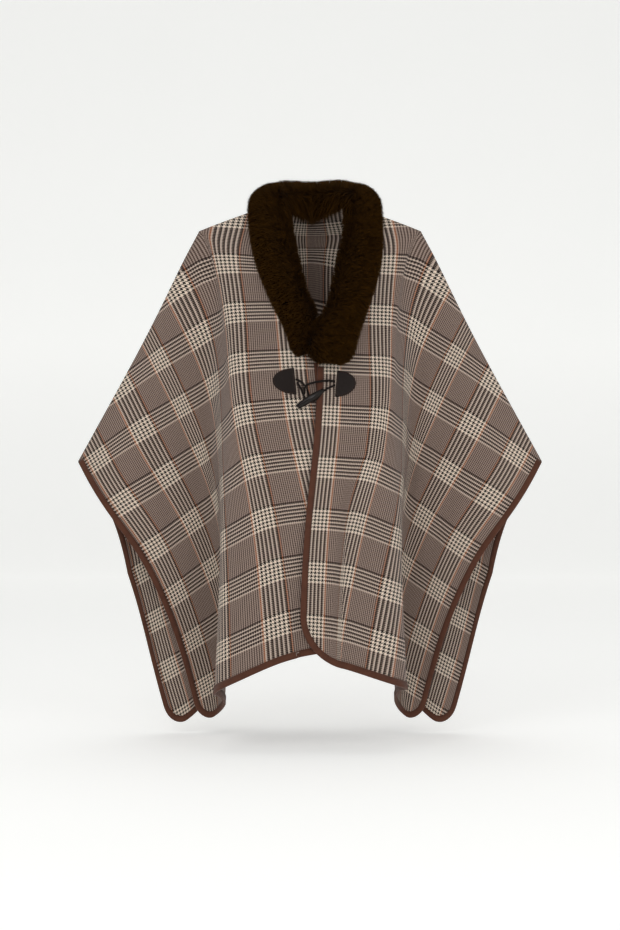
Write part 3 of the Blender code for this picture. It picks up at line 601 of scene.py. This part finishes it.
def bind(name, panel, edge, node):
    """Tape and stitches round one panel's bound edge."""
    line = np.array(edge)
    depths = (TAPE_WIDTH, TAPE_WIDTH / 2, 0.0)
    rows = [panel.worn(in_from(line, depth)) for depth in depths]
    ups = [panel.facing(*in_from(line, depth).T) for depth in depths]
    out = rows[2] - rows[0]
    out /= np.linalg.norm(out, axis=1, keepdims=True)
    near, far = CLOTH / 2 + TAPE_CLEAR, CLOTH / 2 + TAPE_CLEAR + TAPE
    section = [rows[0] + ups[0] * far, rows[1] + ups[1] * far]
    section += [rows[2] + ups[2] * far * math.cos(a) + out * TAPE * math.sin(a)
                for a in TAPE_FOLD]
    section += [rows[1] - ups[1] * far, rows[0] - ups[0] * far, rows[0] - ups[0] * near]
    section += [rows[2] - ups[2] * near + out * TAPE_CLEAR, rows[2] + ups[2] * near + out * TAPE_CLEAR]
    section += [rows[0] + ups[0] * near]
    verts = np.stack(section, axis=1)
    ring = verts.shape[1]
    along = np.concatenate([[0.0], np.cumsum(np.linalg.norm(np.diff(rows[1], axis=0), axis=1))])
    across = np.linspace(0, 2 * TAPE_WIDTH, ring)
    uv = np.stack(np.broadcast_arrays(along[:, None], across[None, :]), axis=-1).reshape(-1, 2)
    tape = add_piece(name + "_tape", verts.reshape(-1, 3), tube_faces(len(line), ring), tape_finish, uv)
    places = np.arange(STITCH_SPACING, along[-1] - STITCH_SPACING, STITCH_SPACING)
    sewn = in_from(line, STITCH_IN)
    ends = [np.stack([np.interp(places + shift, along, sewn[:, k]) for k in range(2)], axis=1)
            for shift in (0.0, STITCH_LENGTH)]
    up = panel.facing(*ends[0].T)
    front = [panel.worn(end, far) for end in ends]
    inner = [panel.worn(end, -far) for end in ends]
    thread = stitches(name + "_stitches", np.vstack([front[0], inner[0]]),
                      np.vstack([front[1], inner[1]]), np.vstack([up, -up]), thread_finish)
    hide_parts(node)
    return [tape, thread]


def trimmed(edge, start, end):
    """The bound edge without the stretches that the sewn edge covers."""
    line = np.array(edge)
    along = np.concatenate([[0.0], np.cumsum(np.hypot(*np.diff(line, axis=0).T))])
    places = np.linspace(start, along[-1] - end, int((along[-1] - start - end) / EDGE_STEP) + 1)
    return [(np.interp(p, along, line[:, 0]), np.interp(p, along, line[:, 1])) for p in places]


NECK_END = 0.003   # the tape of a front edge starts this far below the neckline
back_trim = bind("back_binding", back, trimmed(back_edge, TAPE_END, TAPE_END), "back_binding")
left_trim = bind("left_binding", left, trimmed(left_edge, NECK_END, TAPE_END), "left_front_binding")
right_trim = bind("right_binding", right, trimmed(right_edge, NECK_END, TAPE_END), "right_front_binding")

# Fur collar. A shawl roll of dark brown faux fur sewn round the neckline. A plush backing carries the pile,
# which is combed outwards and down, falls into small locks, and covers the neck seam from inside.
COLLAR = (
    # section           inner x   y       z       outer x   y       z      crown
    ("right_cap", (-0.008, -0.112, -0.273), (-0.024, -0.107, -0.276), 0.007),
    ("right_end", (0.002, -0.115, -0.256), (-0.036, -0.101, -0.261), 0.013),
    ("right_low", (0.018, -0.113, -0.196), (-0.051, -0.090, -0.216), 0.022),
    ("right_breast", (-0.001, -0.108, -0.146), (-0.077, -0.074, -0.158), 0.028),
    ("right_chest", (-0.016, -0.079, -0.093), (-0.103, -0.0535, -0.092), 0.031),
    ("right_upper", (-0.030, -0.047, -0.031), (-0.116, -0.029, -0.034), 0.037),
    ("right_shoulder", (-0.044, -0.006, 0.048), (-0.119, 0.000, 0.028), 0.028),
    ("right_back", (-0.040, 0.022, 0.035), (-0.082, 0.068, 0.019), 0.067),
    ("nape", (0.006, 0.046, 0.0220), (0.008, 0.101, 0.001), 0.089),
    ("left_back", (0.050, 0.013, 0.036), (0.098, 0.066, 0.019), 0.066),
    ("left_shoulder", (0.069, -0.008, 0.047), (0.137, 0.000, 0.026), 0.030),
    ("left_upper", (0.062, -0.049, -0.028), (0.140, -0.028, -0.034), 0.037),
    ("left_chest", (0.049, -0.075, -0.085), (0.138, -0.046, -0.085), 0.031),
    ("left_breast", (0.037, -0.102, -0.140), (0.123, -0.066, -0.142), 0.029),
    ("left_low", (0.022, -0.130, -0.188), (0.103, -0.079, -0.195), 0.028),
    ("left_tip", (-0.014, -0.152, -0.240), (0.089, -0.092, -0.242), 0.028),
    ("left_end", (-0.010, -0.151, -0.271), (0.081, -0.103, -0.273), 0.023),
    ("left_cap", (0.016, -0.144, -0.291), (0.058, -0.120, -0.291), 0.010),
)
COLLAR_ROUND, COLLAR_SEAT, COLLAR_LIES_BELOW = 0.65, CLOTH / 2 + 0.0022, -0.02
PILE, PILE_SHARE = 0.012, 0.42   # depth of the pile, and no more than this share of the crown
# Strand colours: the root colour is painted shade deep in the pile, and the tip colour is a painted
# highlight.
FUR_ROOT_SHADE, FUR_TIP_HIGHLIGHT = (0.015, 0.0050, 0.0004), (0.125, 0.052, 0.0040)
STRANDS, FUR_PIECES, LOCKS_ALONG, LOCKS_ROUND = 189000, 3, 210, 20
COLLAR_STEPS, BACKING_POINTS, ROUND_STEPS = 12, 28, 61   # sections to a row, and points round the roll
COLLAR_FEELERS = np.linspace(0, 0.8, 9)   # shares of the width felt for the front below
STRAND_WIDTH, RIM_ANGLE = 0.00055, 0.02
FRINGE_ANGLE, FRINGE_FADE, FRINGE_RISE = 0.75, 0.45, 0.015   # the fur that hangs over the neck seam
FRINGE_FALL, FRINGE_LONGER = 1.6, 0.05   # its pull down and extra length
COMB_ROUND, COMB_DOWN, COMB_SHARE = 0.55, -0.35, 0.75   # the comb's way round the roll and down
COMB_SIDEWAYS, COMB_WAVES = 0.12, 19   # and its waves along the collar
STRAY, SHORTEST, LONGEST, EXTRA, LEAST_RISE = 0.16, 0.96, 1.16, 0.0012, 0.45
LOCK_BLUR_ALONG, LOCK_BLUR_ROUND, LOCK_STRAY, LOCK_PULL, LOCK_TONE = 0.45, 1.5, 0.0010, 0.14, 0.25
BEND_AT, BEND_RISE, BEND_WIDTH = 0.5, 0.10, 0.8   # where a strand bends, how far, how wide
SHINE_UP, SHINE_LEAN = 0.8, 0.35

sections = COLLAR_STEPS * (len(COLLAR) - 1) + 1
rows = np.array([(*row[1], *row[2], row[3]) for row in COLLAR])
fine = along_rows(np.arange(len(rows), dtype=float), rows, np.linspace(0, len(rows) - 1, sections))
inner, outer, crown = fine[:, 0:3].copy(), fine[:, 3:6].copy(), fine[:, 6:7]
feelers = outer[:, None] + COLLAR_FEELERS[None, :, None] * (inner - outer)[:, None]
push = np.zeros(sections)
for panel, here in ((right, outer[:, 0] < 0), (left, outer[:, 0] > 0)):
    here = here & (outer[:, 2] < COLLAR_LIES_BELOW)
    x, y, z = np.moveaxis(feelers[here], -1, 0)
    u, v = panel.under(x, z)
    need = np.where(u > 0, panel.place(u, v)[..., 1] - COLLAR_SEAT - y, 0.0)
    push[here] = np.minimum(need.min(axis=1), 0.0)
inner[:, 1] += push
outer[:, 1] += push
middle, half = (inner + outer) / 2, (inner - outer) / 2
ahead = np.gradient(middle, axis=0)
rise = np.cross(half, ahead)
rise /= np.linalg.norm(rise, axis=1, keepdims=True)
half_width = np.linalg.norm(half, axis=1, keepdims=True)
inset = np.minimum(PILE, PILE_SHARE * np.minimum(crown, half_width))


def collar_surface(angles, in_by):
    """Points of the collar's upper side over its sections, drawn in by a share of the pile."""
    draw = 1 - in_by * inset / half_width
    lift = crown - in_by * inset
    wave, swell = np.cos(angles)[None, :, None], (np.sin(angles) ** COLLAR_ROUND)[None, :, None]
    return middle[:, None] + (half * draw)[:, None] * wave + (rise * lift)[:, None] * swell


fur_finish, shader, maths, mixed, flat_place, noise, raised, painted = new_finish("fur_pile", 0.62)
shader.inputs["Specular IOR Level"].default_value = 0.06
strand_tone, up_strand = flat_place()
own_tone = maths("MULTIPLY_ADD", strand_tone, 0.9, 0.25)
# Each strand runs from painted shade at its root to a painted highlight at its tip, with a random tone for
# each strand.
painted(mixed(maths("MULTIPLY", maths("POWER", up_strand, 1.4), own_tone), FUR_ROOT_SHADE, FUR_TIP_HIGHLIGHT))
backing_finish, shader, maths, mixed, flat_place, noise, raised, painted = new_finish("fur_backing", 1.0)
# The backing is painted in the dark root shade of the pile, so the gaps between strands show painted shade.
painted(mixed(noise(400, 3.0), FUR_ROOT_SHADE, (0.022, 0.009, 0.002)))
raised(noise(700, 3.0), 0.002)

backing_rows = collar_surface(np.linspace(0, np.pi, BACKING_POINTS), 1.0)
backing = add_piece("fur_backing", backing_rows.reshape(-1, 3), tube_faces(sections, BACKING_POINTS),
                    backing_finish)
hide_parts("fur_collar")

angles = np.linspace(RIM_ANGLE, np.pi - RIM_ANGLE, ROUND_STEPS)
skin, tips_at = collar_surface(angles, 1.0), collar_surface(angles, 0.0)
along_s, round_s = np.gradient(tips_at, axis=0), np.gradient(tips_at, axis=1)
normal = np.cross(round_s, along_s)
normal *= np.sign(np.sum(normal * (tips_at - middle[:, None]), axis=-1, keepdims=True))
patch_area = np.linalg.norm(normal, axis=-1)
normal /= patch_area[..., None]
round_way = round_s / np.linalg.norm(round_s, axis=-1, keepdims=True)
along_way = along_s / np.linalg.norm(along_s, axis=-1, keepdims=True)
chance = np.random.default_rng(11)
share = patch_area[:-1, :-1].ravel() / patch_area[:-1, :-1].sum()
cell = chance.choice(share.size, STRANDS, p=share)
cell_s, cell_a = np.divmod(cell, ROUND_STEPS - 1)
part_s, part_a = chance.random((2, STRANDS))


def on_collar(grid):
    """A grid of the collar read between its points, at each strand's root."""
    s, a = part_s[:, None], part_a[:, None]
    return ((1 - s) * (1 - a) * grid[cell_s, cell_a] + s * (1 - a) * grid[cell_s + 1, cell_a]
            + (1 - s) * a * grid[cell_s, cell_a + 1] + s * a * grid[cell_s + 1, cell_a + 1])


root, reach_to, up = on_collar(skin), on_collar(tips_at), on_collar(normal)
comb = on_collar(round_way) * COMB_ROUND + np.array((0.0, 0.0, COMB_DOWN))
wave = COMB_SIDEWAYS * np.sin(COMB_WAVES * (cell_s + part_s) / COLLAR_STEPS)
comb = comb + on_collar(along_way) * wave[:, None]
round_at = on_collar(np.broadcast_to(angles[None, :, None], skin.shape[:2] + (1,)))
at_neck = soft_step((FRINGE_ANGLE - round_at) / FRINGE_FADE) * soft_step(root[:, 2:] / FRINGE_RISE)
fall = np.array((0.0, 0.0, -FRINGE_FALL)) * at_neck
lean = up + comb * COMB_SHARE + fall + chance.normal(0, STRAY, (STRANDS, 3))
lean /= np.linalg.norm(lean, axis=1, keepdims=True)
depth = np.linalg.norm(reach_to - root, axis=1) * (1 + FRINGE_LONGER * at_neck[:, 0])
length = depth * chance.uniform(SHORTEST, LONGEST, STRANDS) + EXTRA
length = length / np.maximum(np.sum(lean * up, axis=1), LEAST_RISE)
tip = root + lean * length[:, None]
lock_s = cell_s + part_s + chance.normal(0, LOCK_BLUR_ALONG, STRANDS)
lock_s = np.floor(lock_s / (sections - 1) * LOCKS_ALONG)
lock_a = cell_a + part_a + chance.normal(0, LOCK_BLUR_ROUND, STRANDS)
lock_a = np.floor(lock_a / (ROUND_STEPS - 1) * LOCKS_ROUND)
_, lock = np.unique(lock_s * 1000 + lock_a, return_inverse=True)
count = np.bincount(lock)
lock_tip = np.stack([np.bincount(lock, tip[:, k]) for k in range(3)], axis=1) / count[:, None]
lock_tip = lock_tip + chance.normal(0, LOCK_STRAY, lock_tip.shape)
lock_tone = chance.random(len(count))
tip = tip + (lock_tip[lock] - tip) * chance.uniform(0.0, LOCK_PULL, STRANDS)[:, None]
bend = root + (tip - root) * BEND_AT + up * (length * BEND_RISE)[:, None]
side = np.cross(tip - root, chance.normal(0, 1, (STRANDS, 3)))
side *= STRAND_WIDTH / 2 / np.linalg.norm(side, axis=1, keepdims=True)
tone = np.clip((1 - LOCK_TONE) * chance.random(STRANDS) + LOCK_TONE * lock_tone[lock], 0, 1)
shine = up * SHINE_UP + lean * SHINE_LEAN
shine /= np.linalg.norm(shine, axis=1, keepdims=True)
for piece_at in range(FUR_PIECES):
    chosen = slice(piece_at * STRANDS // FUR_PIECES, (piece_at + 1) * STRANDS // FUR_PIECES)
    foot, wide = root[chosen], side[chosen]
    knee, knee_wide = bend[chosen], wide * BEND_WIDTH
    verts = np.stack([foot - wide, foot + wide, knee - knee_wide, knee + knee_wide, tip[chosen]], axis=1)
    verts = verts.reshape(-1, 3)
    number = len(verts) // 5
    base = np.arange(number)[:, None] * 5
    faces = np.concatenate([base + (0, 1, 3), base + (0, 3, 2), base + (2, 3, 4)]).tolist()
    uv = np.stack([np.repeat(tone[chosen], 5), np.tile((0.0, 0.0, 0.5, 0.5, 1.0), number)], axis=1)
    pile = add_piece("fur_pile_" + "abc"[piece_at], verts, faces, fur_finish, uv)
    pile.data.normals_split_custom_set_from_vertices(np.repeat(shine[chosen], 5, axis=0).tolist())

# Leather patches. Two D-shaped tabs of smooth dark leather, one on each front, sewn round the rim with
# a row of dark thread. They carry the cords of the fastening.
LEATHER, PATCH_HALF_HEIGHT, PATCH_LOW = 0.0025, 0.0255, CLOTH / 2 + 0.0006
PATCH_BOW_POINTS, PATCH_FLAT_POINTS = 25, 14
PATCH_STITCH_AT, PATCH_STITCH_HEIGHT = 0.90, 0.99   # shares of the patch's size and of its thickness
PATCH_STITCH_SPACING, PATCH_STITCH_LENGTH = 0.0036, 0.0026
PATCH_STITCH_START, PATCH_STITCH_END = 0.001, 0.003
PATCH_LEVELS = (
    # share of the size, share of the thickness
    (0.3, 0.0), (0.7, 0.0), (1.0, 0.0), (1.0, 0.6), (0.985, 0.85), (0.95, 1.0), (0.85, 0.98), (0.7, 1.0),
    (0.4, 1.04), (0.1, 1.05),
)
PATCHES = (
    # patch    front  flat side x   middle z   round side x   lean   node
    ("right", right, -0.0277, -0.3240, -0.0715, -0.10, "right_patch"),
    ("left", left, 0.0500, -0.3284, 0.0890, 0.08, "left_patch"),
)
leather_finish, shader, maths, mixed, flat_place, noise, raised, painted = new_finish("patch_leather", 0.38)
shader.inputs["Specular IOR Level"].default_value = 0.15
painted(mixed(noise(220, 4.0), (0.007, 0.0038, 0.0030), (0.014, 0.0080, 0.0062)))
raised(noise(1600, 4.0), 0.00025)

for name, panel, flat_x, middle_z, round_x, lean, node in PATCHES:
    turn = np.linspace(-np.pi / 2, np.pi / 2, PATCH_BOW_POINTS)
    bow = [((round_x - flat_x) * math.cos(a), PATCH_HALF_HEIGHT * math.sin(a)) for a in turn]
    flat = [(0.0, PATCH_HALF_HEIGHT * share) for share in np.linspace(1, -1, PATCH_FLAT_POINTS)[1:-1]]
    outline = [(flat_x + out + lean * up, middle_z + up) for out, up in bow + flat]
    rim = np.stack(panel.under(*np.array(outline).T), axis=1)
    heart = rim.mean(axis=0)
    rings = [panel.worn(heart + size * (rim - heart), PATCH_LOW + LEATHER * lift)
             for size, lift in PATCH_LEVELS]
    patch = add_piece(name + "_leather_patch", np.vstack(rings), tube_faces(len(rings), len(rim)),
                      leather_finish)
    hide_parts(node)
    loop = heart + PATCH_STITCH_AT * (rim - heart)
    loop = np.vstack([loop, loop[:1]])
    along = np.concatenate([[0.0], np.cumsum(np.hypot(*np.diff(loop, axis=0).T))])
    places = np.arange(PATCH_STITCH_START, along[-1] - PATCH_STITCH_END, PATCH_STITCH_SPACING)
    ends = [np.stack([np.interp(places + shift, along, loop[:, k]) for k in range(2)], axis=1)
            for shift in (0.0, PATCH_STITCH_LENGTH)]
    sewn = [panel.worn(end, PATCH_LOW + LEATHER * PATCH_STITCH_HEIGHT) for end in ends]
    thread = stitches(name + "_patch_stitches", *sewn, panel.facing(*ends[0].T), thread_finish)

# Cords. Round dark cord of three twisted strands. Two ends come from the right patch and carry the toggle,
# and a loop from the left patch goes round it.
CORD_RADIUS, CORD_TURN = 0.0022, 0.012   # radius, and length of one turn of the twist
CORD_STRANDS, CORD_GROOVE = 3, 0.20   # strands, and depth of the groove between them in radii
CORD_STEPS, CORD_SIDES = 22, 24   # sections between two points, and points round the cord
CORD_AWAY = (0.3, 0.9, 0.3)   # a way that no cord runs along
CORDS = (
    # cord                 x        y        z of each point
    ("right_cord_upper", (
        (-0.0270, -0.1226, -0.3200), (-0.0203, -0.1263, -0.3237), (-0.0115, -0.1252, -0.3309),
        (-0.0058, -0.1236, -0.3400), (-0.0016, -0.1324, -0.3533))),
    ("right_cord_lower", (
        (-0.0258, -0.1240, -0.3284), (-0.0212, -0.1254, -0.3322), (-0.0172, -0.1277, -0.3398),
        (-0.0140, -0.1317, -0.3480), (-0.0099, -0.1352, -0.3570))),
    ("left_loop", (
        (0.0482, -0.1101, -0.3236), (0.0341, -0.1164, -0.3226), (0.0189, -0.1253, -0.3246),
        (0.0037, -0.1262, -0.3278), (-0.0074, -0.1300, -0.3328), (-0.0105, -0.1280, -0.3411),
        (-0.0087, -0.1235, -0.3537), (0.0018, -0.1250, -0.3641), (0.0139, -0.1289, -0.3575),
        (0.0265, -0.1231, -0.3430), (0.0379, -0.1158, -0.3360), (0.0482, -0.1108, -0.3316))),
)
cord_finish, shader, maths, mixed, flat_place, noise, raised, painted = new_finish("cord", 0.65)
shader.inputs["Specular IOR Level"].default_value = 0.15
painted(mixed(noise(900, 3.0), (0.004, 0.0025, 0.0020), (0.014, 0.0090, 0.0070)))
raised(noise(2500, 2.0), 0.0002)
for name, points in CORDS:
    keys = np.arange(len(points), dtype=float)
    path = along_rows(keys, np.array(points), np.linspace(0, keys[-1], CORD_STEPS * (len(points) - 1) + 1))
    along = np.concatenate([[0.0], np.cumsum(np.linalg.norm(np.diff(path, axis=0), axis=1))])
    ahead = np.gradient(path, axis=0)
    ahead /= np.linalg.norm(ahead, axis=1, keepdims=True)
    side = np.cross(ahead, CORD_AWAY)
    side /= np.linalg.norm(side, axis=1, keepdims=True)
    over = np.cross(side, ahead)
    turn = np.linspace(0, 2 * np.pi, CORD_SIDES, endpoint=False)
    twist = turn[None, :] - along[:, None] * 2 * np.pi / CORD_TURN / CORD_STRANDS
    radius = CORD_RADIUS * (1 - CORD_GROOVE + CORD_GROOVE * np.abs(np.cos(CORD_STRANDS / 2 * twist)))
    verts = (path[:, None] + radius[..., None] * (np.cos(turn)[None, :, None] * side[:, None]
                                                  + np.sin(turn)[None, :, None] * over[:, None]))
    cord = add_piece(name + "_cord", verts.reshape(-1, 3), tube_faces(len(path), CORD_SIDES), cord_finish)
    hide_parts(name)

# Toggle. A turned bar of polished dark horn, thickest before the middle and slimmer to one end. The two
# right cords hold it, and the left loop goes round behind it.
TOGGLE_PLACE, TOGGLE_TURN = (0.0014, -0.1386, -0.3579), math.radians(33)
TOGGLE_LENGTH, TOGGLE_RINGS, TOGGLE_SIDES = 0.061, 50, 40
TOGGLE_PROFILE = (
    # along   radius
    (-0.500, 0.0030),
    (-0.470, 0.0050),
    (-0.300, 0.0062),
    (-0.060, 0.0070),
    (0.100, 0.0068),
    (0.300, 0.0054),
    (0.470, 0.0038),
    (0.500, 0.0020),
)
horn_finish, shader, maths, mixed, flat_place, noise, raised, painted = new_finish("toggle_horn", 0.07)
shader.inputs["Specular IOR Level"].default_value = 0.24
painted(mixed(noise(90, 5.0), (0.002, 0.0014, 0.0012), (0.010, 0.0055, 0.0035)))
raised(noise(120, 3.0), 0.00004)
profile = np.array(TOGGLE_PROFILE)
keys = np.arange(len(profile), dtype=float)
fine = along_rows(keys, profile, np.linspace(0, keys[-1], TOGGLE_RINGS))
turn = np.linspace(0, 2 * np.pi, TOGGLE_SIDES, endpoint=False)
along = np.repeat(fine[:, :1] * TOGGLE_LENGTH, TOGGLE_SIDES, axis=1)
rings = np.stack([along, fine[:, 1:] * np.cos(turn), fine[:, 1:] * np.sin(turn)], axis=-1)
toggle = add_piece("horn_toggle", rings.reshape(-1, 3), tube_faces(TOGGLE_RINGS, TOGGLE_SIDES), horn_finish)
toggle.data.transform(Matrix.Translation(TOGGLE_PLACE) @ Matrix.Rotation(-TOGGLE_TURN, 4, "Y"))
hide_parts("toggle")

# Studio. A pale paper sweep just below the hem, which also glows a little as painted light, wide soft lights
# from above the camera and to both sides, and a level camera straight in front.
FLOOR_Z, SWEEP_FRONT, SWEEP_BACK, SWEEP_TOP, SWEEP_ROUND = -1.035, -5.0, 5.2, 4.0, 1.2
SWEEP_HALF, SWEEP_BENDS = 6.0, 24
CAMERA_PLACE, VIEW_HEIGHT, SENSOR = (0.0, -3.6, -0.486), 1.86, 36.0
LIT_POINT = (0.0, 0.0, -0.5)   # the lights look here
paper, shader, maths, mixed, flat_place, noise, raised, painted = new_finish("paper", 0.95)
# The paper glows by its emission: painted light that keeps the sweep evenly bright.
shader.inputs["Emission Color"].default_value = (1.0, 1.0, 0.99, 1.0)
shader.inputs["Emission Strength"].default_value = 0.37
painted(mixed(noise(2.0, 2.0), (0.80, 0.805, 0.79), (0.82, 0.825, 0.81)))
bend = np.linspace(-np.pi / 2, 0, SWEEP_BENDS)
profile = [(SWEEP_FRONT, FLOOR_Z)]
profile += [(SWEEP_BACK + SWEEP_ROUND * math.cos(a), FLOOR_Z + SWEEP_ROUND * (1 + math.sin(a)))
            for a in bend]
profile += [(SWEEP_BACK + SWEEP_ROUND, SWEEP_TOP)]
sweep_mesh = bpy.data.meshes.new("paper_sweep")
sweep_mesh.from_pydata([(x, y, z) for y, z in profile for x in (-SWEEP_HALF, SWEEP_HALF)], [],
                       [(2 * k, 2 * k + 1, 2 * k + 3, 2 * k + 2) for k in range(len(profile) - 1)])
sweep_mesh.shade_smooth()
sweep_mesh.materials.append(paper)
sweep = bpy.data.objects.new("paper_sweep", sweep_mesh)
bpy.context.scene.collection.objects.link(sweep)

LIGHTS = (
    # light         place               size   power
    ("key_light", (-1.6, -3.4, 2.2), 2.2, 32.0),
    ("fill_light", (2.2, -3.2, 1.2), 2.4, 20.0),
    ("front_light", (0.1, -4.4, 0.5), 1.2, 26.0),
    ("top_light", (0.0, 0.6, 2.8), 2.6, 20.0),
)
for name, place, size, power in LIGHTS:
    light = bpy.data.lights.new(name, "AREA")
    light.size, light.energy = size, power
    lamp = bpy.data.objects.new(name, light)
    lamp.location = place
    lamp.rotation_euler = (Vector(LIT_POINT) - Vector(place)).to_track_quat("-Z", "Y").to_euler()
    bpy.context.scene.collection.objects.link(lamp)
world = bpy.data.worlds.new("studio")
world.use_nodes = True
world.node_tree.nodes["Background"].inputs["Color"].default_value = (1.0, 1.0, 0.99, 1.0)
world.node_tree.nodes["Background"].inputs["Strength"].default_value = 0.42
bpy.context.scene.world = world
bpy.context.scene.view_settings.view_transform = "Standard"

camera = bpy.data.objects.new("camera", bpy.data.cameras.new("camera"))
camera.location, camera.rotation_euler = CAMERA_PLACE, (math.pi / 2, 0.0, 0.0)
camera.data.sensor_width = SENSOR
camera.data.lens = SENSOR * -CAMERA_PLACE[1] / VIEW_HEIGHT
bpy.context.scene.collection.objects.link(camera)
bpy.context.scene.camera = camera
